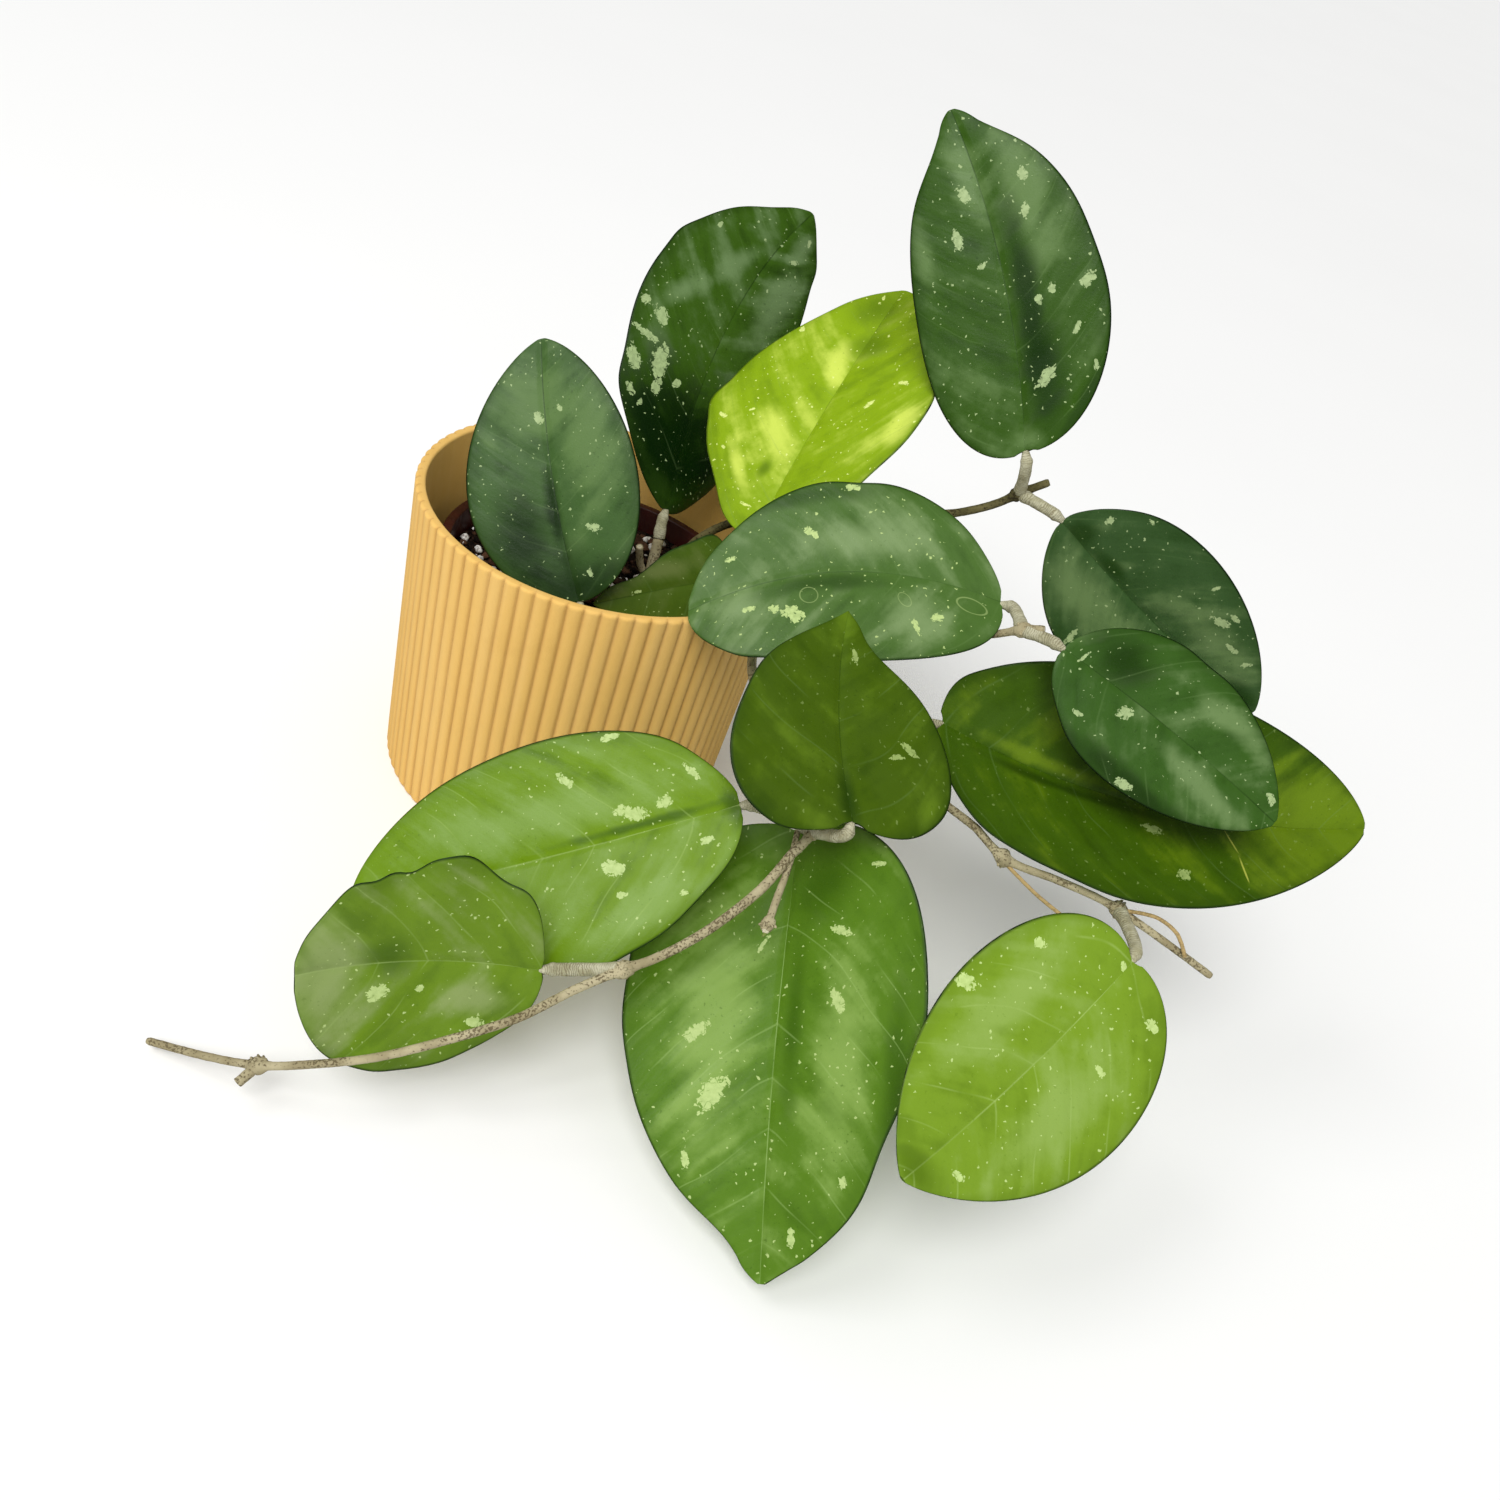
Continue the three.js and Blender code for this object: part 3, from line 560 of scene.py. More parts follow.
# %% Leaves: their values
LEAVES = {
    "leaf_pot_front": dict(
        base=(-2, -52, 104), tip=(-34, 5, 161), faces=(-0.3, -0.75, 0.6), width=56, round=0.54, point=0.71,
        arch=0.01, sweep=0.03, fold=0.14, cup=0.03),
    "leaf_pot_tall": dict(
        base=(19, 16, 107), tip=(46, 114, 191), faces=(0.52, -0.63, 0.57), width=67, round=0.71, point=0.73,
        arch=0.046, sweep=0.109, fold=-0.01, cup=0.18, lobe=0.015,
        swings=[(1, 0.22, 0.06, 2.6), (1, 0.67, 0.05, 1.2), (1, 0.92, 0.05, -1.8), (-1, 0.88, 0.04, 1.6),
            (-1, 0.08, 0.07, -0.8)]),
    "leaf_lime": dict(
        base=(47.1, -21.9, 125.2), tip=(81.5, 67.4, 188.1), faces=(-0.59, -0.34, 0.74), width=80.5,
        round=0.55, point=0.73, arch=0.02, sweep=0, fold=0.15, cup=0.02,
        swings=[(1, 0.14, 0.13, -6.4), (1, 0.43, 0.06, 3), (1, 0.6, 0.12, 1), (1, 0.93, 0.06, 1.5),
            (-1, 0.23, 0.12, -4), (-1, 0.53, 0.07, 1.3)]),
    "leaf_rim_right": dict(
        base=(123, -55, 144), tip=(31, -56, 113), faces=(-0.25, -0.57, 0.78), width=62, round=0.49,
        point=0.55,
        arch=0.03, sweep=-0.11, fold=0.14, cup=0.03, lobe=0.01,
        swings=[(-1, 0.45, 0.08, -1.3), (-1, 0.04, 0.05, -1.2), (-1, 0.94, 0.05, 1.1),
            (1, 0.83, 0.06, 0.9)]),
    "leaf_top_right": dict(
        base=(121.4, -17.4, 177.8), tip=(73.4, 50.2, 253.2), faces=(-0.5, -0.76, 0.41), width=62.7,
        round=0.54, point=0.73, arch=0, sweep=-0.045, fold=0.08, cup=0.04, lobe=0.03,
        swings=[(-1, 0.93, 0.08, -2.5), (-1, 0.52, 0.12, -1.1), (1, 0.9, 0.1, -3),
            (1, 0.45, 0.2, -1.1)]),
    "leaf_right_upper": dict(
        base=(140, -22, 161), tip=(218, -48, 126), faces=(-0.34, -0.94, 0.06), width=58, round=0.58,
        point=0.77,
        arch=0.01, sweep=-0.02, fold=0.12, cup=0.05,
        swings=[(-1, 0.08, 0.12, -1), (1, 0.06, 0.1, -1.2)]),
    "leaf_right_small": dict(
        base=(140, -74, 145), tip=(207, -113, 129), faces=(-0.22, -0.69, 0.69), width=48, round=0.54,
        point=0.71,
        arch=0, sweep=0.02, fold=0.06, cup=0.1,
        swings=[(-1, 0.12, 0.08, -1.1), (1, 0.45, 0.08, -1)]),
    "leaf_far_right": dict(
        base=(115, -73, 108), tip=(246, -93, 122), faces=(-0.17, -0.53, 0.83), width=73, round=0.62,
        point=0.72,
        arch=-0.01, sweep=-0.075, fold=0.29, cup=-0.12, lobe=0.04,
        swings=[(-1, 0.03, 0.04, -1.7), (-1, 0.17, 0.06, 1.6), (-1, 0.36, 0.08, -1.3),
            (1, 0.04, 0.05, 1.5)]),
    "leaf_heart": dict(
        base=(87, -127, 103), tip=(75, -73, 138), faces=(0.12, -0.49, 0.86), width=68, round=0.55, point=1.07,
        arch=-0.01, sweep=0.054, fold=0.12, cup=0.05, lobe=0.13,
        swings=[(-1, 0.1, 0.08, -1.2), (-1, 0.81, 0.12, -4), (1, 0.76, 0.15, 3.6), (1, 0.045, 0.045, 2.3)]),
    "leaf_left_long": dict(
        base=(57, -118, 93), tip=(-45, -136, 37), faces=(-0.3, -0.6, 0.74), width=69, round=0.52, point=0.66,
        arch=0, sweep=0.01, fold=0.13, cup=0.04,
        swings=[(-1, 0.05, 0.06, -2), (-1, 0.75, 0.12, 0.5), (1, 0.13, 0.1, -2.4),
            (1, 0.42, 0.06, 1.7)]),
    "leaf_left_end": dict(
        base=(13, -160, 53), tip=(-51, -176, 47), faces=(0.4, -0.85, 0.3), width=66, round=0.62, point=0.52,
        arch=-0.06, sweep=-0.025, fold=0.1, cup=0, lobe=0.02, wave=2, ripples=3,
        swings=[(-1, 0.08, 0.1, 8), (-1, 0.34, 0.1, 4), (-1, 0.56, 0.06, -6), (-1, 0.68, 0.07, -5),
            (-1, 0.89, 0.1, -5), (1, 0.33, 0.09, -2.2), (1, 0.52, 0.08, 1.4), (1, 0.87, 0.13, 4)]),
    "leaf_low_centre": dict(
        base=(79.2, -103.8, 77.9), tip=(90.3, -214.4, 8.9), faces=(-0.5, -0.52, 0.69), width=91.3,
        round=0.59, point=0.88, arch=0.01, sweep=-0.01, fold=0.24, cup=-0.07, lobe=0.05,
        swings=[(-1, 0.39, 0.11, -2.2), (-1, 0.57, 0.08, -0.9), (-1, 0.91, 0.06, -3.6),
            (1, 0.56, 0.15, 2.9), (1, 0.86, 0.12, 6.6)]),
    "leaf_low_right": dict(
        base=(172, -147, 95), tip=(113, -211, 60), faces=(0.13, -0.58, 0.81), width=65.5, round=0.6,
        point=0.78,
        arch=-0.02, sweep=0.025, fold=0.08, cup=0.09, lobe=0.07),
    "leaf_rim_small": dict(
        base=(46, -24, 112), tip=(2, -46, 101), faces=(0.1, -0.8, 0.5), width=26, round=0.5, point=0.86,
        arch=0, sweep=-0.01, fold=0.12, cup=0.05,
        swings=[(-1, 0.1, 0.14, 5), (-1, 0.68, 0.2, -4)]),
}
BLUNT = 0.004
LOBE_PEAK = 4.2
RIPPLE_SHIFT = 1.3
SWING_FREE = 9


# %% Leaves: the formula
def leaf_axes(leaf):
    """Base and length of the midrib, and the directions along it, across it and out of the upper side."""
    base = Vector(leaf["base"])
    along = Vector(leaf["tip"]) - base
    length = along.length
    along.normalize()
    up = Vector(leaf["faces"])
    up = (up - up.dot(along) * along).normalized()
    return base, length, along, up.cross(along), up


def half_width(leaf, t):
    widest = leaf["round"] / (leaf["round"] + leaf["point"])
    return leaf["width"] / 2 * (t / widest) ** leaf["round"] * ((1 - t) / (1 - widest)) ** leaf["point"]


def side_width(leaf, t, v):
    """Half width on the side of v, with that margin's swings, which die out where the blade is narrow."""
    half = half_width(leaf, t)
    total = 0.0
    for side, middle, reach, amount in leaf.get("swings", []):
        if (v >= 0) == (side > 0):
            total += amount * math.exp(-((t - middle) / reach) ** 2)
    return half + total * min(1, half / SWING_FREE)


def blade_point(leaf, t, v):
    """The blade's middle surface in millimetres: t from base to tip, v across from -1 to 1."""
    base, length, along, across, up = leaf_axes(leaf)
    half = side_width(leaf, t, v)
    bow = 4 * t * (1 - t) * length
    backward = leaf.get("lobe", 0) * LOBE_PEAK * math.sqrt(t) * (1 - t) ** 3 * v * v
    turn = 2 * math.pi * leaf.get("ripples", 0) * t + (RIPPLE_SHIFT if v > 0 else 0)
    ripple = leaf.get("wave", 0) * v * v * math.sin(turn) * math.sqrt(math.sin(math.pi * t))
    height = leaf["arch"] * bow + (leaf["fold"] * abs(v) - leaf["cup"] * v * v) * half + ripple
    spot = base + along * length * (t - backward)
    return spot + across * (v * half + leaf["sweep"] * bow) + up * height


# %% [markdown]
# A hoya leaf is as thick as card, thinner towards its margin, and its midrib stands out below like
# a cord. Solidify gives the thickness, scaled point by point by a vertex group, and one level of
# subdivision rounds the margin. The grid lies closer together at the midrib, where the fold is, and
# soft bands of noise that slant as the side veins do swell the blade a little between them.

# %% Leaves: mesh
FLESH = 1.6
MARGIN = 0.65
RIB = 1.5
RIB_WIDTH = 1.5
PUCKER = 0.35
QUILT = {"slant": 0.55, "curve": 0.012, "long": 35, "broad": 11, "halves": 5, "flat": 6}
ROW_STEP = 1.7
COLUMN_STEP = 2.2
UV_UNIT = 200


def blade_thickness(t, v, half):
    """Thickness of the flesh and of the midrib below it."""
    flesh = MARGIN + (FLESH - MARGIN) * (1 - v * v)
    rib = RIB * (1 - t) ** 1.3 * math.exp(-(v * half / RIB_WIDTH) ** 2)
    return flesh, rib


def quilt_swell(x, y, seed):
    """Soft bands between the side veins: flat at the midrib, and different on its two sides."""
    out = abs(x)
    slant = y - QUILT["slant"] * out - QUILT["curve"] * out * out
    place = (out / QUILT["long"] + math.copysign(QUILT["halves"], x), slant / QUILT["broad"], seed)
    return min(1, out / QUILT["flat"]) * noise.fractal(Vector(place), 0.8, 2.0, 2)


def make_leaf(name, leaf, finishes):
    _, length, _, _, up = leaf_axes(leaf)
    rows = round(length / ROW_STEP)
    columns = 2 * round(leaf["width"] / COLUMN_STEP / 2)
    bm = bmesh.new()
    bmesh.ops.create_grid(bm, x_segments=rows, y_segments=columns, size=0.5)
    margin = bm.verts.layers.float.new("margin")
    weights = bm.verts.layers.deform.verify()
    uv = bm.loops.layers.uv.new("blade")
    spread = {}
    for vert in bm.verts:
        share = min(max(vert.co.x + 0.5, 0), 1)
        side = min(max(2 * vert.co.y, -1), 1)
        t = BLUNT + (1 - 2 * BLUNT) * (0.5 - 0.5 * math.cos(math.pi * share))
        v = math.copysign(abs(side) ** 1.35, side)
        half = side_width(leaf, t, v)
        flesh, rib = blade_thickness(t, v, half)
        spot = blade_point(leaf, t, v)
        pucker = PUCKER * (1 - v * v) * quilt_swell(v * half, t * length, leaf["width"])
        vert.co = (spot + up * (pucker - rib / 2)) * MM
        vert[margin] = abs(v)
        vert[weights][0] = (flesh + rib) / (FLESH + RIB)
        spread[vert.index] = (0.5 + v * half / UV_UNIT, t * length / UV_UNIT)
    for face in bm.faces:
        for loop in face.loops:
            loop[uv].uv = spread[loop.vert.index]
    bm.normal_update()
    facing = sum((face.normal * face.calc_area() for face in bm.faces), Vector())
    if facing.dot(up) < 0:
        bmesh.ops.reverse_faces(bm, faces=bm.faces)
    piece = finish_piece(name + "_blade", bm, finishes, [name])
    piece.vertex_groups.new(name="flesh")
    solidify = piece.modifiers.new("flesh", "SOLIDIFY")
    solidify.thickness = (FLESH + RIB) * MM
    solidify.offset = 0
    solidify.vertex_group = "flesh"
    solidify.material_offset = 1
    solidify.material_offset_rim = 2
    smooth = piece.modifiers.new("smooth", "SUBSURF")
    smooth.levels = 1
    smooth.render_levels = 1
    return piece


# %% [markdown]
# ## Leaves: the finish
# The upper side is a waxy green that drifts between a main, a pale and a deep tone in slanted
# bands: painted sheen in the pale tone on the swells between the side veins, painted shade in the
# deep tone in the hollows, and some mottling, with faint side veins. What names this plant is its
# splash: ragged cream-green patches, and fine dots strewn over the blade. A picture could be wrapped
# on, but nodes keep the edges crisp at any size. Each leaf lists its largest patches, and its
# painted sheens and its shades, which are soft ovals of its pale and deep tones: painted sheen, on
# the lime painted light shining through the blade, and painted shade where the blade lies in
# shadow, in a few places the leaf's own deep colour. Each gives how far along the midrib and across,
# length and breadth in millimetres, and the turn from the midrib in degrees. Noise then frays them,
# and the fine dots are all noise.

# %% Leaves: their colours
SLOTS = {
    "leaf_dark": ["leaf_pot_front", "leaf_pot_tall", "leaf_top_right", "leaf_right_upper",
        "leaf_right_small"],
    "leaf_mid": ["leaf_rim_right", "leaf_left_long", "leaf_left_end", "leaf_low_centre", "leaf_rim_small"],
    "leaf_olive": ["leaf_far_right", "leaf_heart"],
    "leaf_light": ["leaf_low_right"],
    "leaf_lime": ["leaf_lime"],
}
SPLASH = {"leaf_dark": "a0b47e", "leaf_mid": "b6cb82", "leaf_olive": "93a860", "leaf_light": "bfd686",
          "leaf_lime": "dde98a"}
FAINT_VEINS = 0.16
VEIN_GREEN = "6f8c52"
EDGE_GREEN = "14290a"

# tones: main, pale and deep. The pale tone is painted sheen, and on the lime painted light shining through
# the blade. The deep tone is painted shade in the shades ovals, and the leaf's own deep colour at its margin,
# flecks and midrib.
LOOKS = {
    "leaf_pot_front": dict(
        tones=("3c5a28", "5a7640", "0a2400"),
        patches=[(0.72, -0.23, 2.5, 1.5, 30), (0.7, 0.1, 4, 2.5, 20), (0.26, -0.4, 4.5, 2, 65),
                 (0.1, -0.35, 2.5, 1.5, 0)],
        painted_sheens=[(0.75, 0.1, 30, 34, 0), (0.6, -0.5, 40, 18, 0)],
        shades=[(0.05, 0.1, 24, 50, 0), (0.25, 0.5, 40, 24, 0), (0.35, 0.05, 36, 6, 0)]),
    "leaf_pot_tall": dict(
        tones=("37580f", "6a8454", "031e00"),
        patches=[(0.31, 0.58, 12, 5, 10), (0.29, 0.9, 7, 4, 40), (0.42, 0.7, 6, 4, 40), (0.44, 0.9, 4, 3, 50),
                 (0.36, 0.8, 9, 2, 80), (0.25, 0.58, 4, 3, 20), (0.22, 0.93, 3.5, 2, 50),
                 (0.2, 0.8, 2, 1.5, 0),
                 (0.29, 0.32, 3.5, 2, -50), (0.82, -0.38, 3.5, 2, -40), (0.91, -0.55, 3.5, 1.5, 20),
                 (0.75, 0.8, 2.5, 1.2, 0)],
        painted_sheens=[(0.68, 0.3, 28, 9, -20), (0.52, 0.6, 24, 9, -30), (0.68, -0.45, 50, 20, 0),
               (0.88, -0.45, 20, 10, 0)],
        shades=[(0.15, 0, 60, 70, 0), (0.15, 0.2, 46, 50, 0)]),
    "leaf_lime": dict(
        tones=("88a80e", "cfe05c", "5e7c0a"),
        patches=[(0.59, -0.66, 4, 1.5, 80), (0.5, -0.42, 3.5, 1.5, -30), (0.76, 0.9, 2.5, 2, 0),
                 (0.38, 0.87, 3, 1.5, 70), (0.42, 0.63, 2, 1, -50), (0.95, 0.5, 2.5, 1, 20),
                 (0.27, 0.74, 2.5, 1, 60), (0.1, 0.33, 4, 1, 80)],
        painted_sheens=[(0.66, 0.17, 26, 8, 15), (0.36, 0.3, 34, 12, 40), (0.22, 0.55, 30, 6, 38),
               (0.42, -0.85, 20, 9, 0)],
        shades=[(0.75, -0.1, 16, 20, 0), (0.23, 0.25, 8, 5, 0), (0.9, 0.3, 24, 24, 0)]),
    "leaf_rim_right": dict(
        tones=("48682a", "79915e", "2c4a12"),
        patches=[(0.86, -0.55, 3, 1.5, 0), (0.8, 0.33, 3.5, 1.5, -5), (0.72, 0.38, 3, 2.5, -40),
                 (0.67, 0.42, 5, 3.5, -15), (0.65, 0.5, 4, 3.5, 35), (0.6, -0.45, 4.5, 2, -40),
                 (0.28, 0.62, 5, 1.8, -70), (0.21, 0.5, 3.5, 2, 30), (0.47, -0.9, 5, 2, 0)],
        rings=[(0.61, 0.25, 6, 5, -45), (0.31, 0.3, 5, 3.5, -60), (0.1, 0.28, 9, 5, 0)],
        painted_sheens=[(0.42, -0.35, 46, 16, 0), (0.28, 0.5, 24, 20, 0), (0.85, 0.2, 18, 18, 0)],
        shades=[(0.55, 0.12, 46, 7, 0), (0.65, -0.9, 44, 8, 0)]),
    "leaf_top_right": dict(
        tones=("32540c", "5f7b44", "123000"),
        patches=[(0.75, 0.23, 6, 3, 15), (0.75, -0.6, 4, 2.5, 0), (0.63, 0.4, 6, 3, 0),
                 (0.54, 0.2, 3, 1.5, -70),
                 (0.65, -0.42, 4, 2.5, -30), (0.42, -0.8, 5, 3, -50), (0.42, -0.45, 3, 2, 0),
                 (0.4, -0.3, 3, 2, 0),
                 (0.3, -0.65, 4, 1.5, -30), (0.19, -0.33, 7, 3.5, -55), (0.2, -0.9, 3, 1.5, 0)],
        painted_sheens=[(0.8, 0.15, 30, 12, 0), (0.7, -0.5, 50, 16, 0), (0.65, 0.85, 36, 10, 0),
               (0.03, -0.1, 8, 12, 0)],
        shades=[(0.4, -0.2, 70, 10, 0), (0.2, -0.3, 40, 16, 0)]),
    "leaf_right_upper": dict(
        tones=("38562a", "6a8450", "1c3c08"),
        patches=[(0.34, -0.8, 5.5, 2, -80), (0.75, 0.55, 4, 1.5, 5), (0.65, 0.63, 6, 2.5, 10),
                 (0.83, 0.65, 3.5, 1.5, 50), (0.67, 0.8, 3.5, 1.5, 0), (0.54, 0.8, 2.5, 1, 75),
                 (0.21, 0.9, 2, 1.2, 0), (0.11, 0.67, 3, 2, 80)],
        painted_sheens=[(0.25, -0.45, 40, 22, 0), (0.7, 0.4, 30, 16, 0)],
        shades=[(0.25, 0.1, 18, 6, 0), (0.08, 0.2, 14, 10, 0), (0.92, 0.2, 16, 8, 0)]),
    "leaf_right_small": dict(
        tones=("35581a", "6a8450", "183402"),
        patches=[(0.33, -0.2, 4, 3, 55), (0.5, -0.9, 5, 2.5, 15), (0.2, -0.65, 3, 1.5, 0),
                 (0.08, 0.1, 4, 1, 80),
                 (0.93, 0.5, 3, 2, -30)],
        painted_sheens=[(0.7, -0.35, 40, 8, -5), (0.65, 0.65, 32, 10, 0)],
        shades=[(0.5, -0.85, 60, 9, 0), (0.2, 0.4, 24, 20, 0)]),
    "leaf_far_right": dict(
        tones=("3a5803", "647f0c", "223a01"),
        patches=[(0.6, -0.65, 4, 3.5, -30), (0.52, -0.23, 5, 2.5, -15)],
        scars=[(0.7, -0.25, 11, 0.7, -60), (0.73, -0.6, 12, 0.7, -72)], specks=0.4,
        painted_sheens=[(0.9, 0, 54, 54, 0), (0.85, 0.4, 40, 24, 0), (0.25, 0.1, 50, 5, 0)],
        shades=[(0.3, -0.1, 60, 4, 0)]),
    "leaf_heart": dict(
        tones=("405a03", "5f7c14", "223c02"),
        patches=[(0.78, -0.25, 5, 1.5, 15), (0.39, -0.62, 5, 2, 60), (0.34, -0.5, 4, 1.2, -75)],
        painted_sheens=[(0.95, 0.1, 14, 10, 0), (0.18, -0.85, 16, 5, -40)], shades=[(0.1, 0, 22, 8, 0)], specks=0.4),
    "leaf_left_long": dict(
        tones=("688a0a", "7f9e4a", "40600c"),
        patches=[(0.41, -0.6, 5, 2.5, -45), (0.27, -0.2, 10, 3.5, -25), (0.18, -0.25, 4, 3, 0),
                 (0.1, -0.6, 6, 1.8, -60), (0.1, 0.35, 4, 2, 0), (0.34, 0.25, 7, 4, -20),
                 (0.33, 0.5, 3, 1.5, 0),
                 (0.18, 0.75, 2, 1.5, 0), (0.28, -0.93, 5, 2, 0)],
        painted_sheens=[(0.45, -0.35, 90, 16, 0), (0.27, 0.7, 36, 12, 20)], shades=[(0.25, -0.08, 60, 3, 0),
               (0.02, 0, 8, 14, 0)],
        rib="9ab560", veins=0.3),
    "leaf_left_end": dict(
        tones=("668618", "8a9c5e", "45640e"),
        patches=[(0.67, 0.28, 5.5, 4, 40), (0.5, 0.25, 2, 1.5, 50), (0.28, 0.65, 4, 2.5, 0)],
        painted_sheens=[(0.9, 0, 26, 50, 0), (0.27, 0.4, 22, 14, 0)], shades=[(0.62, -0.1, 16, 16, 0)],
        rib="9cb468", veins=0.3),
    "leaf_low_centre": dict(
        tones=("547a18", "84a34e", "3a5e06"),
        patches=[(0.62, -0.42, 10, 5, -35), (0.49, -0.5, 8, 3, -45), (0.41, 0.41, 7, 3, 25),
                 (0.26, 0.43, 6, 2, 65),
                 (0.14, 0.83, 5, 1, 70), (0.28, -0.15, 5, 1.2, -25), (0.79, 0.9, 3, 2.5, 0),
                 (0.76, -0.75, 4, 1.8, 15), (0.9, 0.6, 4, 2, 0)],
        painted_sheens=[(0.5, -0.4, 80, 24, 0), (0.55, 0.5, 70, 22, 0)],
        shades=[(0.45, 0.12, 60, 8, 0), (0.15, 0.3, 26, 26, 0), (0.6, 0.95, 60, 10, 0)],
        rib="9ab86a", veins=0.3, flecks=0.5),
    "leaf_low_right": dict(
        tones=("769722", "8daa50", "537205"),
        patches=[(0.5, -0.9, 6, 3.5, -60), (0.25, -0.78, 4, 2, -50), (0.32, 0.45, 3.5, 2, 80),
                 (0.12, 0.75, 4, 2, 65),
                 (0.86, 0.5, 3.5, 2, -80), (0.04, -0.1, 2, 2, 0)],
        painted_sheens=[(0.45, -0.5, 60, 16, 0), (0.5, 0.45, 60, 20, 0)], shades=[(0.95, 0, 14, 26, 0)],
        rib="a9c470", veins=0.3),
    "leaf_rim_small": dict(
        tones=("465e16", "66743c", "2c4409"), patches=[(0.7, -0.1, 3, 1, 0)], painted_sheens=[(0.5, -0.5, 30, 8, 0)]),
}
print("leaves", len(LEAVES), "patches", sum(len(look["patches"]) for look in LOOKS.values()))


# %% [markdown]
# The UV map of a blade is its real plan, 200 mm to the unit, so one node turns it back into
# millimetres and every pattern below keeps its true scale. A patch is an ellipse: a Mapping node
# moves and turns the plan to the patch and divides by its size, so the length of the result is 1
# on the ellipse's edge.

# %% Leaves: patches, veins and dots as nodes


def ellipse(tree, plan, leaf, spot, grow=1.0):
    """Distance from a spot's middle in the blade's plan, 1 on the ellipse's edge."""
    t, v, long, wide, turn = spot
    length = leaf_axes(leaf)[1]
    middle = (v * half_width(leaf, t), t * length, 0)
    inputs = {"Vector": plan, "Location": middle, "Rotation": (0, 0, -math.radians(turn))}
    inputs["Scale"] = (grow * wide / 2, grow * long / 2, 1)
    local = add_node(tree, "Mapping", inputs, vector_type="TEXTURE").outputs[0]
    return calc_vector(tree, "LENGTH", local)


def nearest(tree, plan, leaf, spots, grow=1.0):
    """The least of the distances to several spots."""
    found = None
    for spot in spots:
        reach = ellipse(tree, plan, leaf, spot, grow)
        found = reach if found is None else calc(tree, "MINIMUM", found, reach)
    return found


def blade_plan(tree, shift):
    """The blade's plan in millimetres, and the same plan moved to its own part of the noise."""
    chart = add_node(tree, "UVMap", uv_map="blade").outputs[0]
    plan = calc_vector(tree, "MULTIPLY_ADD", chart, (UV_UNIT, UV_UNIT, 0), (-UV_UNIT / 2, 0, 0))
    return plan, calc_vector(tree, "ADD", plan, (shift, 0.3 * shift, 0))


def quilt(tree, plan, seed):
    """How far out from the midrib, the slanted run that the side veins keep to, and bands along it."""
    parts = add_node(tree, "SeparateXYZ", {"Vector": plan}).outputs
    out = calc(tree, "ABSOLUTE", parts["X"])
    lean = calc(tree, "MULTIPLY_ADD", out, QUILT["curve"], QUILT["slant"])
    slant = calc(tree, "SUBTRACT", parts["Y"], calc(tree, "MULTIPLY", out, lean))
    side = calc(tree, "MULTIPLY", calc(tree, "SIGN", parts["X"]), QUILT["halves"])
    across = calc(tree, "MULTIPLY_ADD", out, 1 / QUILT["long"], side)
    inputs = {"X": across, "Y": calc(tree, "DIVIDE", slant, QUILT["broad"]), "Z": seed}
    place = add_node(tree, "CombineXYZ", inputs).outputs[0]
    return out, slant, cloud(tree, place, 1.0, detail=3)


def vein_lines(tree, out, slant, pattern, spacing=15.0):
    """The thin lines of the side veins, the midrib's line, and the shallow valley along both."""
    wander = rise(tree, cloud(tree, pattern, 0.03, detail=1), 0.2, 0.8, -2.5, 2.5)
    place = calc(tree, "DIVIDE", calc(tree, "ADD", slant, wander), spacing)
    side = calc(tree, "MULTIPLY", calc(tree, "PINGPONG", place, 0.5), spacing)
    faded = rise(tree, cloud(tree, pattern, 0.055, detail=1), 0.4, 0.62)
    thin = calc(tree, "MULTIPLY", rise(tree, side, 0.0, 0.5, 1, 0), faded)
    broad = calc(tree, "MULTIPLY", rise(tree, side, 0, 3.5, 0.4, 0), faded)
    uneven = rise(tree, cloud(tree, pattern, 0.04, detail=2), 0.35, 0.6, 0.35, 1)
    rib = calc(tree, "MULTIPLY", rise(tree, out, 0.08, 0.4, 1, 0), uneven)
    return thin, rib, calc(tree, "MAXIMUM", broad, rise(tree, out, 0, 2.4, 1, 0))


def fine_dots(tree, pattern, scale, share, size):
    """Small dots: in each cell whose random number beats the share, a dot of random size."""
    outputs = cells(tree, pattern, scale)
    luck = add_node(tree, "SeparateColor", {"Color": outputs["Color"]}).outputs[0]
    room = rise(tree, cloud(tree, pattern, 0.06, detail=1), 0.35, 0.62, 0.4, 1)
    radius = calc(tree, "MULTIPLY", rise(tree, luck, share, 1.0, 0, size), room)
    return rise(tree, calc(tree, "SUBTRACT", radius, outputs["Distance"]), 0.0, 0.04)


def splash_mask(tree, plan, pattern, leaf, patches):
    """Crumbs of splash: small torn cells, all filled in the middle of a patch and fewer round it."""
    torn = add_node(tree, "TexNoise", {"Vector": pattern, "Scale": 0.55, "Detail": 4.0}).outputs["Color"]
    place = calc_vector(tree, "MULTIPLY_ADD", torn, (3.2, 3.2, 0), pattern)
    crumbs = cells(tree, place, 0.42)
    gap = cells(tree, place, 0.42, "DISTANCE_TO_EDGE")["Distance"]
    luck = add_node(tree, "SeparateColor", {"Color": crumbs["Color"]}).outputs[0]
    frayed = rise(tree, cloud(tree, pattern, 0.7, detail=3, roughness=0.6), 0.25, 0.75, -0.4, 0.4)
    reach = calc(tree, "ADD", nearest(tree, plan, leaf, patches), frayed)
    chance = rise(tree, reach, 0.7, 1.5, 1.2, -0.1)
    filled = rise(tree, calc(tree, "SUBTRACT", chance, luck), 0.0, 0.06)
    inside = rise(tree, reach, 0.5, 1.0, 1.0, 0)
    return calc(tree, "MULTIPLY", filled, calc(tree, "MAXIMUM", inside, rise(tree, gap, 0.03, 0.08)))


# %% Leaves: the upper side


